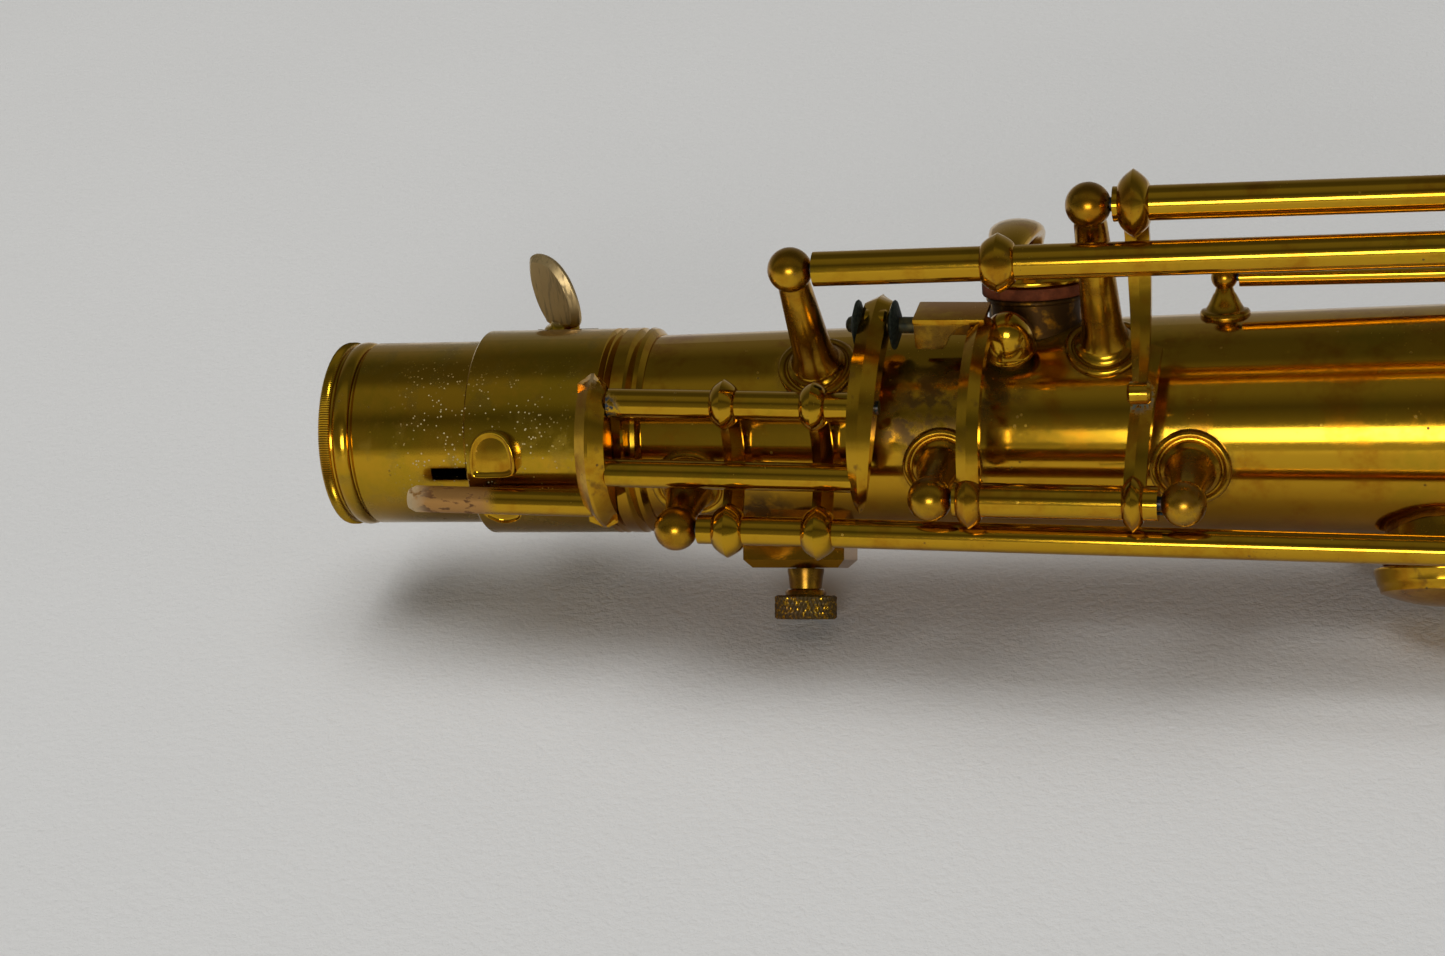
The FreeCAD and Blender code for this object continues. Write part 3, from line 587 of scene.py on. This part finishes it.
# brass finishes: tint, dullness, marks and drawn lines
BRASSES = {
    "tube_brass": (0.15, 0.0, tube_marks),
    "plug_brass": (-0.45, 0.18, plug_marks, 0.35),
    "key_brass": (0.0, 0.0, crevice_marks),
    "post_brass": (0.5, 0.3, post_marks),
    "arm_brass": (0.25, 0.15, worn_marks),
    "press_brass": (0.2, 0.05, cork_marks),
    # painted shade: dark red-brown for the vent channel's walls and the lyre screw's neck, which
    # sit in shade
    "channel_brass": (1.0, 0.25, channel_painted_shade),
    "pin_brass": (0.1, 0.15, pin_marks),
    "guide_brass": (0.0, 0.0),
    # painted shade: dark, dull red-brown for the tone holes that sit in shade under a cup
    "sooty_brass": (1.0, 0.8, under_cup_painted_shade),
    "wing_brass": (0.0, 0.2, wing_marks),
    # painted shade: dark finish for the lyre screw's head, which lies in shadow
    "grimy_brass": (0.6, 0.3, knurl_painted_shade),
}
# other finishes: their maker and the CAD material that they stand for
OTHER_FINISHES = {
    "worn_leather": (leather, "pad_leather"),
    "oiled_steel": (blued_steel, "blued_steel"),
    "dark_stub": (dark_stub, "blued_steel"),
    "felted_cork": (cork, "dark_cork"),
}


def finish(look):
    """Finish by name, made once."""
    if look in BRASSES:
        return bpy.data.materials.get(look) or aged_brass(look, *BRASSES[look])
    return bpy.data.materials.get(look) or OTHER_FINISHES[look][0](look)


# ---- settings
class BrassFinish(PropertyGroup):
    """Colours and wear of the metal and the pads."""

    gold: FloatVectorProperty(name="Gold", description="Clean lacquered brass", subtype="COLOR",
                              default=(0.57, 0.315, 0.016), min=0, max=1)
    olive: FloatVectorProperty(name="Olive", description="Brass under greened lacquer",
                               subtype="COLOR", default=(0.44, 0.28, 0.012), min=0, max=1)
    brown: FloatVectorProperty(name="Red-brown", description="Brass under darkened lacquer",
                               subtype="COLOR", default=(0.40, 0.145, 0.005), min=0, max=1)
    oxide: FloatVectorProperty(name="Oxide", description="Spots where the lacquer is gone",
                               subtype="COLOR", default=(0.06, 0.035, 0.015), min=0, max=1)
    pad: FloatVectorProperty(name="Pad", description="Leather of the pads", subtype="COLOR",
                             default=(0.20, 0.052, 0.018), min=0, max=1)
    age: FloatProperty(name="Age", description="How much of the lacquer has browned",
                       default=0.75, min=0, max=1, subtype="FACTOR")
    roughness: FloatProperty(name="Roughness", description="Gloss of clean lacquer",
                             default=0.13, min=0.02, max=0.6, subtype="FACTOR")


class KeyworkSizes(PropertyGroup):
    """Sizes of the small parts of the keywork, in millimetres."""

    hub_scale: FloatProperty(name="Hub scale", description="Thickness of every arm hub",
                             default=1.0, min=0.5, max=1.5, subtype="FACTOR")
    bar_thickness: FloatProperty(name="Arm thickness", description="Arm along its rod, in mm",
                                 default=3.1, min=1, max=6)
    spring_radius: FloatProperty(name="Needle spring radius", description="Steel spring, in mm",
                                 default=0.28, min=0.1, max=0.6)
    milled_teeth: IntProperty(name="Milled teeth", description="Teeth around the plug's head",
                              default=240, min=60, max=400)


class StudioSettings(PropertyGroup):
    """Light and floor."""

    floor: FloatVectorProperty(name="Floor", description="Pale floor", subtype="COLOR",
                               default=(0.78, 0.775, 0.76), min=0, max=1)
    window_power: FloatProperty(name="Window", description="Low window light, in watts",
                                default=5.0, min=0, max=50)
    sky_power: FloatProperty(name="Overhead", description="Broad overhead light, in watts",
                             default=19.0, min=0, max=100)
    room: FloatProperty(name="Room", description="Brightness of the room around",
                        default=0.9, min=0, max=2)


# ---- pieces
def arm_piece(name, body, node, hubs, bars, look="arm_brass", extra=None, spread=None, ridge=0.9):
    """One arm: keen-rimmed hubs and ridged bars. Spread scales the bar's thickness along it.

    A hub is its bore, reach, thickness and place, and a bar is its path, its x, its width in
    the middle and at the ends, and how far it leans along x."""
    sizes = bpy.context.scene.keywork_sizes
    place = rod_frame(body + "_hinge")
    bm = bmesh.new()
    for bore, reach, thick, *spot in hubs:
        hub(bm, shifted(place, *spot), bore, reach, thick * sizes.hub_scale)
    for path, x, wide, narrow, lean in bars:
        sweep(bm, place, path, x,
              lambda way: wide + (narrow - wide) * abs(2 * way - 1) ** 3,
              lambda way: sizes.bar_thickness * (spread(way) if spread else 1.0),
              ridge=ridge, lean=lean)
    if extra:
        extra(bm, place)
    add_piece(name, bm, body, look, (node,))


def cup_and_pad(key, hole, radius, rim, depth, pad, lift=0.0):
    """Domed key cup with a rolled lip, and the leather pad in it.

    Lift raises the lip, so that the pad's edge shows."""
    place = radial_frame(*hole)
    base = rim + 0.35 + lift
    shoulder = rim + 0.35 + depth
    crown = [(shoulder + radius * (0.26 - 0.178 * (step / 8) ** 2), radius * 0.9 * step / 8)
             for step in range(8, -1, -1)]
    turned_piece(key + "_cup_shell", place, key, "arm_brass", [
        (rim + 0.1 + pad, 0), (rim + 0.1 + pad, radius - 0.95), (base, radius - 0.7),
        (base - 0.02, radius - 0.35), (base + 0.12, radius - 0.05), (base + 0.4, radius),
        (base + 0.7, radius - 0.06), (base + 0.85, radius - 0.16),
        (shoulder - 0.5, radius * 0.955), (shoulder - 0.15, radius * 0.945),
        (shoulder, radius * 0.925)] + crown, (key + "_cup",), sharp=40, steps=96)
    edge = radius - (0.3 if lift else 0.75)
    back = rim + 0.05 + pad + (0.1 if lift else 0)
    turned_piece(key + "_leather_pad", place, key, "worn_leather", [
        (rim + 0.2, 0), (rim + 0.16, edge * 0.6), (rim + 0.05, edge * 0.75),
        (rim + 0.04, edge - 0.5), (rim + 0.12, edge - 0.12), (rim + 0.4, edge), (back, edge),
        (back, 0)], (key + "_pad",), sharp=60, steps=96)


def slotted_end(name, place, x, facing):
    """Slotted end of a hinge rod, seen in its ball."""
    radius, slot = 0.92, 0.2
    edge = math.sqrt(radius ** 2 - slot ** 2)
    start = math.asin(slot / radius)
    bm = bmesh.new()
    for side in (1, -1):
        outline = [Vector((0, side * slot, edge)), Vector((0, side * slot, -edge))]
        for step in range(1, 12):
            angle = -math.pi / 2 + start + (math.pi - 2 * start) * step / 12
            outline.append(Vector((0, side * radius * math.cos(angle), radius * math.sin(angle))))
        rows = [[bm.verts.new(place @ (point * scale + ALONG * (x + facing * depth)))
                 for point in outline] for depth, scale in ((-0.3, 1), (0.16, 1), (0.24, 0.9))]
        bridge(bm, rows, capped=True)
    add_piece(name, bm, "body", "oiled_steel")


def needle_spring(name, place, start, end, radius):
    """Bowed needle spring from a post to a key, tapered to half its radius."""
    count = 12
    points = [place @ (start.lerp(end, step / count)
                       - Vector((0, 0.5 * math.sin(math.pi * step / count), 0)))
              for step in range(count + 1)]
    angles = [math.pi * step / 5 for step in range(10)]
    side = (points[1] - points[0]).orthogonal()
    bm = bmesh.new()
    rows = []
    for number, point in enumerate(points):
        thick = radius * (1 - 0.5 * number / count)
        ahead = points[min(number + 1, count)] - points[max(number - 1, 0)]
        side = (side - ahead * side.dot(ahead) / ahead.length_squared).normalized()
        other = ahead.normalized().cross(side)
        rows.append([bm.verts.new(point + (side * math.cos(angle) + other * math.sin(angle))
                                  * thick) for angle in angles])
    bridge(bm, rows, capped=True)
    add_piece(name, bm, "body", "oiled_steel")


class SAXTOP_OT_stage(Operator):
    """Floor, lights, room and camera"""

    bl_idname = "saxtop.stage"
    bl_label = "Stage"

    def execute(self, context):
        studio = context.scene.studio_settings
        reach = 6.0
        mesh = bpy.data.meshes.new("pale_floor")
        mesh.from_pydata([(x * reach, y * reach, CAD_BOX[0][2])
                          for x, y in ((-1, -1), (1, -1), (1, 1), (-1, 1))], [], [(0, 1, 2, 3)])
        floor = bpy.data.objects.new("pale_floor", mesh)
        context.collection.objects.link(floor)
        graph = Graph("pale_floor")
        soft = graph.noise(14, 3)
        nap = graph.noise(900, 3)
        shade = graph.mix(soft * 0.25 + nap * 0.1, studio.floor, (0.66, 0.655, 0.64))
        mesh.materials.append(graph.finish(Base_Color=shade, Roughness=0.95,
                                           Normal=graph.bump(nap, 0.25)))
        self.add_light("window", (0.2, -1.25, 0.345), (0.57, 0.29), studio.window_power)
        overhead = self.add_light("overhead", (-0.2, 0.25, 1.6), (1.6, 1.4), studio.sky_power)
        overhead.visible_glossy = False
        self.add_room(context, studio.room)
        self.add_camera(context)
        return {"FINISHED"}

    def add_light(self, name, place, extent, power):
        """Rectangular soft light that faces the object's middle."""
        middle = Vector((0.075, 0, 0))
        data = bpy.data.lights.new(name, "AREA")
        data.shape = "RECTANGLE"
        data.size, data.size_y = extent
        data.energy = power
        light = bpy.data.objects.new(name, data)
        light.location = place
        light.rotation_euler = (light.location - middle).to_track_quat("Z", "Y").to_euler()
        bpy.context.collection.objects.link(light)
        return light

    def add_room(self, context, brightness):
        """Dim room by angle from the front, over the top, to the back."""
        world = bpy.data.worlds.new("room")
        context.scene.world = world
        graph = Graph("room", world)
        ahead = 0 - graph.axis("Y")
        angle = ahead.math("ARCTAN2", graph.axis("Z"), ahead) * (1 / math.pi)
        shade = graph.node("ShaderNodeValToRGB", {"stops": ROOM_LEVELS}, {0: angle}, 0)
        glow = graph.node("ShaderNodeBackground", {}, {"Color": shade, "Strength": brightness}, 0)
        graph.node("ShaderNodeOutputWorld", {}, {"Surface": glow})

    def add_camera(self, context):
        """Camera in front of the lever side, 27 degrees above the floor."""
        turned = Euler((math.radians(90 - 27.0), 0, math.radians(15.65))).to_matrix().to_4x4()
        roll = Matrix.Rotation(-0.133468, 4, "Z")
        spot = Matrix.Translation((0.147577, -0.401370, 0.204011))
        data = bpy.data.cameras.new("camera")
        data.sensor_width = 36.0
        data.lens = 76.26
        data.clip_start, data.clip_end = 0.01, 20
        camera = bpy.data.objects.new("camera", data)
        camera.matrix_world = spot @ turned @ roll
        context.collection.objects.link(camera)
        context.scene.camera = camera
        context.scene.view_settings.view_transform = "Standard"


class SAXTOP_OT_metal(Operator):
    """Finishes of the tube, receiver, tone holes, hinge tubes and rods"""

    bl_idname = "saxtop.metal"
    bl_label = "Tube, hinge tubes and rods"

    def execute(self, context):
        finish_node("tube_brass", "body_tube", "receiver_rings", "lyre_block")
        finish_node("plug_brass", "end_plug_skirt", "neck_receiver")
        finish_node("post_brass", "stack_tone_hole")
        # painted shade: the side tone hole and the vent pip are darkened, for the shade under their
        # cups
        finish_node("sooty_brass", "side_tone_hole", "vent_pip")
        finish_node("key_brass", "octave_pivot_tube", "octave_rocker_rod",
                    *[key + "_tube" for key in ROD_LENGTHS])
        finish_node("oiled_steel", "octave_rocker_steel",
                    *[key + "_hinge_rod" for key in ROD_LENGTHS])
        finish_node("pin_brass", "octave_pin")
        return {"FINISHED"}


class SAXTOP_OT_plug(Operator):
    """End plug's head with its milled rim and turned beads"""

    bl_idname = "saxtop.plug"
    bl_label = "End plug head"

    def execute(self, context):
        teeth = context.scene.keywork_sizes.milled_teeth
        milled, tooth_depth = range(5, 10), 0.13

        def ripple(row, along, angle):
            return -tooth_depth * (0.5 + 0.5 * math.cos(teeth * angle)) if row in milled else 0
        turned_piece("plug_milled_head", Matrix.Identity(4), "end_plug", "plug_brass", [
            (-23.55, 0), (-23.5, 8.0), (-23.3, 8.6), (-23.6, 11.0), (-23.9, 12.6), (-23.86, 13.5),
            (-23.6, 14.0), (-23.2, 14.15), (-22.4, 14.15), (-22.05, 13.95), (-21.95, 13.5),
            (-21.7, 13.45), (-21.5, 13.7), (-21.0, 14.05), (-20.3, 14.15), (-19.6, 14.05),
            (-19.15, 13.8), (-19.0, 13.35), (-18.72, 13.35), (-18.7, 0)], ("end_plug_head",),
            sharp=50, steps=teeth * 4, ripple=ripple)
        return {"FINISHED"}


class SAXTOP_OT_clamp_screw(Operator):
    """Thumbscrew that clamps the neck receiver"""

    bl_idname = "saxtop.clamp_screw"
    bl_label = "Clamp thumbscrew"

    def execute(self, context):
        upright = Matrix.Translation(Vector(JOINTS["clamp_screw_turn"]["pos_m"]) / MM)
        bm = bmesh.new()
        turn(bm, upright @ Matrix.Rotation(math.radians(-90), 4, "Y"), [
            (-8, 0), (-8, 1.45), (-7.7, 1.75), (6.6, 1.78), (7.15, 1.9), (7.2, 2.7), (7.4, 2.85),
            (8.5, 2.85), (8.8, 2.6), (9.0, 2.1), (9.3, 1.7), (10.2, 1.4), (10.4, 0)], steps=48)
        outline = rounded([(3.9, 20.4), (1.8, 20.95), (-0.8, 20.2), (-2.8, 18.0), (-4.0, 15.0),
                           (-4.4, 12.0), (-3.9, 9.9), (-2.0, 9.0), (1.8, 8.9), (3.0, 10.2),
                           (4.1, 12.6), (4.7, 15.6), (4.6, 18.4)])
        wing_bearing = 65
        flat = upright @ Matrix.Rotation(math.radians(wing_bearing), 4, "Z")
        plate(bm, flat, outline, 0, 2.3, 0.5, 0.95)
        add_piece("clamp_thumbscrew", bm, "clamp_screw", "wing_brass", ("receiver_thumbscrew",),
                  sharp=35)
        return {"FINISHED"}


class SAXTOP_OT_pin_guide(Operator):
    """Two polished lobes on the receiver, above and below the octave pin"""

    bl_idname = "saxtop.pin_guide"
    bl_label = "Pin guide"

    def lobe(self, name, points, replaced):
        """Cushion-edged lobe on the receiver, with (along, around) outline points in mm."""
        at, radius, bearing = 4.9, 17.6, 0.7
        outline = rounded(points, 6)
        middle = sum(outline, Vector((0, 0))) / len(outline)
        bm = bmesh.new()
        rows = []
        for scale, height in ((1.0, 15.5), (1.0, 16.9), (0.98, 17.3), (0.94, 17.5), (0.89, 17.5),
                              (0.84, 17.3), (0.78, 17.05), (0.7, 17.0), (0.4, 17.0)):
            row = []
            for point in outline:
                spot = middle + (point - middle) * scale
                out = ray(math.degrees(spot.y / radius) + bearing) * height
                row.append(bm.verts.new((at + spot.x, out.y, out.z)))
            rows.append(row)
        bridge(bm, rows, capped=True)
        add_piece(name, bm, "body", "guide_brass", replaced, sharp=60)

    def execute(self, context):
        self.lobe("guide_upper_lobe", [
            (-3.5, 1.2), (-3.6, 3.4), (-3.2, 6.0), (-1.8, 7.8), (0.3, 8.3), (2.3, 7.4), (3.4, 5.2),
            (3.6, 2.6), (2.9, 1.0), (0, 0.75), (-2.6, 0.75)], ("octave_pin_guide",))
        self.lobe("guide_lower_lobe", [
            (-3.0, -5.5), (0, -5.4), (3.2, -5.5), (2.6, -7.0), (0.6, -8.0), (-1.4, -7.6)], ())
        return {"FINISHED"}


class SAXTOP_OT_lyre_screw(Operator):
    """Knurled thumbscrew of the lyre holder"""

    bl_idname = "saxtop.lyre_screw"
    bl_label = "Lyre thumbscrew"

    def execute(self, context):
        place = radial_frame(49.1, -60)
        starts, knurl_depth, twist = 22, 0.32, 2.2

        def knurl(row, along, angle):
            if not 25.3 < along < 28.5:
                return 0
            slope = (along - 25) * twist
            return -knurl_depth * abs(math.sin(starts * angle + slope)
                                      * math.sin(starts * angle - slope))
        grip = [(25.35 + step * 0.28, 4.7) for step in range(12)]
        # the head takes painted shade, for the shadow under the tube
        turned_piece("lyre_thumbscrew_head", place, "lyre_thumbscrew", "grimy_brass",
                     [(25.1, 0), (25.1, 4.3)] + grip
                     + [(28.7, 4.3), (28.7, 2.6), (28.5, 2.3), (28.5, 0)],
                     sharp=50, steps=176, ripple=knurl)
        # the neck takes painted shade: dark red-brown, for the shadow under the tube
        turned_piece("lyre_thumbscrew_neck", place, "lyre_thumbscrew", "channel_brass", [
            (20.7, 0), (20.7, 1.45), (21.05, 1.45), (21.1, 2.75), (21.5, 2.75), (22.3, 2.6),
            (24.1, 2.4), (24.3, 2.9), (24.7, 3.1), (25.2, 3.1), (25.2, 0)], ("lyre_screw",))
        return {"FINISHED"}


class SAXTOP_OT_octave_cradle(Operator):
    """Two arms of the octave lever's cradle"""

    bl_idname = "saxtop.octave_cradle"
    bl_label = "Octave cradle"

    def execute(self, context):
        for word, at in (("first", 7.9), ("second", 21.2)):
            arm_piece("cradle_arm_" + word, "octave_lever", f"octave_cradle_{word}_arm",
                      [(SLIM_BORE, 4.0, 4.6, at), (SLIM_BORE, 3.7, 3.8, at - 1.0, 8.2, 16.1)],
                      [(arc((0, 0), (8.2, 16.1), -4.8), at, 2.3, 2.6, -1.0)], "key_brass")
        return {"FINISHED"}


class SAXTOP_OT_octave_rocker(Operator):
    """Rocker's two plates, its stub and its cork bumpers"""

    bl_idname = "saxtop.octave_rocker"
    bl_label = "Octave rocker"

    def lower_leaf(self, place):
        """Curved bar from the rocker's rod to the eye around the bumpers' stub."""
        swell, tip = 0.5, 0.1

        def full(way):
            return math.sin(math.pi * min(way, swell)) ** 0.8

        def into_tip(way):
            return max(0, way - 1 + tip) / tip
        bm = bmesh.new()
        sweep(bm, place, ring_arc((25.1, 3.35), 22.1, -3, 88, 60), 26.9,
              lambda way: 2.0 + 3.2 * full(way) - 3.0 * into_tip(way),
              lambda way: (1.4 + 2.5 * full(way)) * math.sqrt(
                  1.02 - into_tip(way) ** 2 - 0.7 * (max(0, 0.06 - way) / 0.06) ** 2), lean=1.2)
        turn(bm, shifted(place, *BUMPER), [
            (-1.7, 1.15), (-1.7, 2.0), (-1.4, 2.3), (1.4, 2.3), (1.7, 2.0), (1.7, 1.15)],
            steps=40, closed=True)
        add_piece("rocker_lower_leaf", bm, "octave_rocker", "arm_brass",
                  ("octave_rocker_lower_plate",), sharp=28)

    def execute(self, context):
        place = rod_frame("octave_lever_hinge")
        front = arc((6.6, -3.85), (9.6, 20.15), 7.0, 28)
        back = arc((9.6, 20.15), (6.6, -3.85), 0.6, 12)
        outline = [point for point, normal in front + back[1:-1]]
        bm = bmesh.new()
        plate(bm, place, outline, -12.8, 4.4, 0.5, 1.6)
        add_piece("rocker_upper_leaf", bm, "octave_rocker", "arm_brass",
                  ("octave_rocker_upper_plate",), sharp=28)
        self.lower_leaf(place)
        bm = bmesh.new()
        for side in (-3.4, 2.0):
            turn(bm, shifted(shifted(place, *BUMPER), side), [
                (0, 1.2), (0, 1.7), (0.55, 3.5), (0.72, 3.6), (0.88, 3.5), (1.5, 1.8), (1.5, 1.2)],
                steps=48, closed=True)
        add_piece("rocker_bumpers", bm, "octave_rocker", "felted_cork",
                  ("octave_bumper_washers",), sharp=40)
        turned_piece("bumper_stub", shifted(place, *BUMPER), "octave_rocker", "dark_stub", [
            (-4.5, 0), (-4.4, 0.6), (-4.1, 1.05), (-3.7, 1.2), (8.1, 1.2), (8.4, 0.9), (8.4, 0)],
            ("octave_bumper_stub",), sharp=40, steps=32)
        return {"FINISHED"}


class SAXTOP_OT_vent_key(Operator):
    """Body vent key: channel, arms, cup and pad"""

    bl_idname = "saxtop.vent_key"
    bl_label = "Vent key"

    def execute(self, context):
        cup_arm, press_arm = 5.7, 28.7
        arm_piece("vent_cup_arm", "vent_key", "vent_key_cup_arm",
                  [(KEY_BORE, 4.1, 3.6, cup_arm)],
                  [(arc((0, 0), (19.4, 18.1), 6.0, 30), cup_arm, 3.7, 3.0, 0.0)])
        arm_piece("vent_press_arm", "vent_key", "vent_key_press_arm",
                  [(KEY_BORE, 4.1, 3.0, press_arm)],
                  [(arc((0, 0), (16.5, 15.6), 2.0, 24), press_arm, 3.7, 2.6, 1.2)], "press_brass")
        place = rod_frame("vent_key_hinge")
        corner = shifted(place, *(Vector((68.3, -10.4, 17.6)) - place.translation))
        roof = [(0, 4.1), (10.4, 4.1), (10.4, 5.0), (0, 5.0)]
        front = [(0, 0.4), (0.3, 0.0), (4.0, 0.0), (4.6, 0.7), (5.2, 2.0), (6.2, 3.1), (7.4, 3.7),
                 (8.3, 3.9), (8.3, 4.2), (0, 4.2)]
        back = [(0, 0), (8.3, 0), (8.3, 4.2), (0, 4.2)]
        bm = bmesh.new()
        for outline, across, depth in ((roof, -0.45, 6.25), (front, 0.1, 0.75), (back, 4.9, 0.9)):
            prism(bm, corner, outline, across, depth)
        # the channel takes painted shade: a dark red-brown finish for its shaded walls
        add_piece("vent_channel", bm, "vent_key", "channel_brass", ("vent_key_channel",),
                  bevel=0.22)
        cup = radial_frame(*VENT_HOLE)
        lip, dome_rise, dome_radius = 17.1, 5.5, 3.84
        angles = [step * math.pi / 32 for step in range(16)]
        dome = [(lip + 0.9 + dome_rise * math.sin(angle), dome_radius * math.cos(angle))
                for angle in angles]
        turned_piece("vent_cup_shell", cup, "vent_key", "arm_brass",
                     [(19.4, 0), (19.4, 3.1), (lip, 3.2), (lip, 3.65), (lip + 0.2, 3.98),
                      (lip + 0.55, 4.0), (lip + 0.85, 3.86)] + dome + [(lip + 6.4, 0)],
                     ("vent_key_cup",), sharp=40, steps=80)
        turned_piece("vent_leather_pad", cup, "vent_key", "worn_leather", [
            (18.24, 0), (18.22, 2.9), (18.5, 3.05), (19.35, 3.05), (19.35, 0)],
            ("vent_key_pad",), sharp=60)
        return {"FINISHED"}


class SAXTOP_OT_side_key(Operator):
    """Long side key: arch, cup and pad"""

    bl_idname = "saxtop.side_key"
    bl_label = "Side key"

    def execute(self, context):
        rim, depth = 19.8, 2.6
        landing = ray(SIDE_HOLE[1]) * (rim + depth + 1.55)
        start = rod_frame("side_key_hinge").translation
        end = (landing.y - start.y, landing.z - start.z)
        arm_piece("side_arch_arm", "side_key", "side_key_arm",
                  [(KEY_BORE, 4.2, 4.8, 29.6)],
                  [(arc((0, 0), end, 4.7, 40), 30.5, 3.4, 2.6, 0.0)],
                  spread=lambda way: 0.9 + 1.5 * math.sin(math.pi * min(0.97, way * 1.05)),
                  ridge=0)
        cup_and_pad("side_key", SIDE_HOLE, 8.0, rim, depth, 1.6, lift=1.75)
        return {"FINISHED"}


class SAXTOP_OT_link_rod(Operator):
    """Finger of the high link rod"""

    bl_idname = "saxtop.link_rod"
    bl_label = "Link rod finger"

    def execute(self, context):
        at, reach, drop = 6.3, -9.2, -24.4

        def toe(bm, place):
            turn(bm, shifted(place, at, reach, drop), [
                (-1.6, 0), (-1.6, 1.2), (-1.2, 1.6), (1.2, 1.6), (1.6, 1.2), (1.6, 0)], steps=32)
        arm_piece("link_finger", "link_rod", "link_rod_finger",
                  [(KEY_BORE, 4.8, 4.4, at)],
                  [(arc((0, 0), (reach, drop), 5.0, 30), at, 3.2, 2.6, 0.0)], extra=toe,
                  spread=lambda way: 1.12 - 0.55 * way ** 2)
        return {"FINISHED"}


class SAXTOP_OT_stack_key(Operator):
    """Lower stack key: wrapping arm, cup and pad"""

    bl_idname = "saxtop.stack_key"
    bl_label = "Stack key"

    def execute(self, context):
        at, wrap_radius = 17.0, 25.0
        start = rod_frame("stack_key_hinge").translation
        arm_piece("stack_wrap_arm", "stack_key", "stack_key_arm",
                  [(SLIM_BORE, 2.95, 4.0, at)],
                  [(ring_arc((-start.y, -start.z), wrap_radius, -118, -79, 40), at, 3.2, 2.6, 0.0)])
        cup_and_pad("stack_key", STACK_HOLE, 10.0, 21.0, 2.6, 1.8)
        return {"FINISHED"}


class SAXTOP_OT_small_parts(Operator):
    """Turned posts, slotted rod ends and the vent key's needle spring"""

    bl_idname = "saxtop.small_parts"
    bl_label = "Posts, rod ends and spring"

    def post(self, name, spot, small):
        """Turned post: beaded foot that follows the tube, tapered shank and ball."""
        surface = TUBE_RADIUS + CONE_SLOPE * max(0, spot.x - CONE_START)
        height = math.hypot(spot.y, spot.z)
        ball, neck, foot = (1.9, 1.2, SMALL_FOOT) if small else (3.2, 2.1, FOOT)
        outline = [(surface + rise, radius) for rise, radius, hug in foot]
        outline.append((height - ball - 0.25, neck + 0.22))
        start = math.pi - math.asin(neck / ball)
        angles = [start * (1 - step / 14) for step in range(15)]
        outline += [(height + ball * math.cos(angle), ball * math.sin(angle)) for angle in angles]

        def sink(row, across):
            hug = foot[row][2] if row < len(foot) else 0
            return hug * (surface - math.sqrt(surface ** 2 - across ** 2))
        bm = bmesh.new()
        place = radial_frame(spot.x, math.degrees(math.atan2(spot.z, -spot.y)))
        rows = turn(bm, place, outline, steps=56, sink=sink)
        bm.faces.new(rows[0])
        add_piece(name + "_turned", bm, "body", "post_brass", (name,), sharp=50)

    def execute(self, context):
        rods = [(key, rod_frame(key + "_hinge"), length) for key, length in ROD_LENGTHS.items()]
        for key, place, length in rods:
            for end, distance in (("upper", 0), ("lower", length)):
                self.post(f"{key}_{end}_post", place @ Vector((distance, 0, 0)), key == "thin_rod")
        for key, place, length in rods[:-1]:
            slotted_end(key + "_rod_head", place, -2.8, -1)
            slotted_end(key + "_rod_tail", place, length + 2.8, 1)
        needle_spring("vent_needle_spring", rod_frame("vent_key_hinge"),
                      Vector((35.2, 2.0, -2.4)), Vector((21.0, 2.0, -3.0)),
                      context.scene.keywork_sizes.spring_radius)
        return {"FINISHED"}


class SAXTOP_PT_pieces(Panel):
    """Pieces of the body top, in the order they are made"""

    bl_idname = "SAXTOP_PT_pieces"
    bl_label = "Body Top"
    bl_space_type = "VIEW_3D"
    bl_region_type = "UI"
    bl_category = "Body Top"

    def draw(self, context):
        for settings in ("brass_finish", "keywork_sizes", "studio_settings"):
            group = getattr(context.scene, settings)
            for word in group.__annotations__:
                self.layout.prop(group, word)
        for operator in OPERATORS:
            self.layout.operator(operator.bl_idname)


GROUPS = {"brass_finish": BrassFinish, "keywork_sizes": KeyworkSizes,
          "studio_settings": StudioSettings}
OPERATORS = (SAXTOP_OT_stage, SAXTOP_OT_metal, SAXTOP_OT_plug, SAXTOP_OT_clamp_screw,
             SAXTOP_OT_pin_guide, SAXTOP_OT_lyre_screw, SAXTOP_OT_octave_cradle,
             SAXTOP_OT_octave_rocker, SAXTOP_OT_vent_key, SAXTOP_OT_side_key,
             SAXTOP_OT_link_rod, SAXTOP_OT_stack_key, SAXTOP_OT_small_parts)


def register():
    for word, group in GROUPS.items():
        bpy.utils.register_class(group)
        setattr(bpy.types.Scene, word, PointerProperty(type=group))
    for operator in OPERATORS:
        bpy.utils.register_class(operator)
    bpy.utils.register_class(SAXTOP_PT_pieces)


def unregister():
    bpy.utils.unregister_class(SAXTOP_PT_pieces)
    for operator in reversed(OPERATORS):
        bpy.utils.unregister_class(operator)
    for word, group in reversed(list(GROUPS.items())):
        delattr(bpy.types.Scene, word)
        bpy.utils.unregister_class(group)


def main():
    for name in ("Cube", "Light", "Camera"):
        if name in bpy.data.objects:
            bpy.data.objects.remove(bpy.data.objects[name])
    register()
    for operator in OPERATORS:
        group, word = operator.bl_idname.split(".")
        getattr(getattr(bpy.ops, group), word)()


if __name__ == "__main__":
    main()
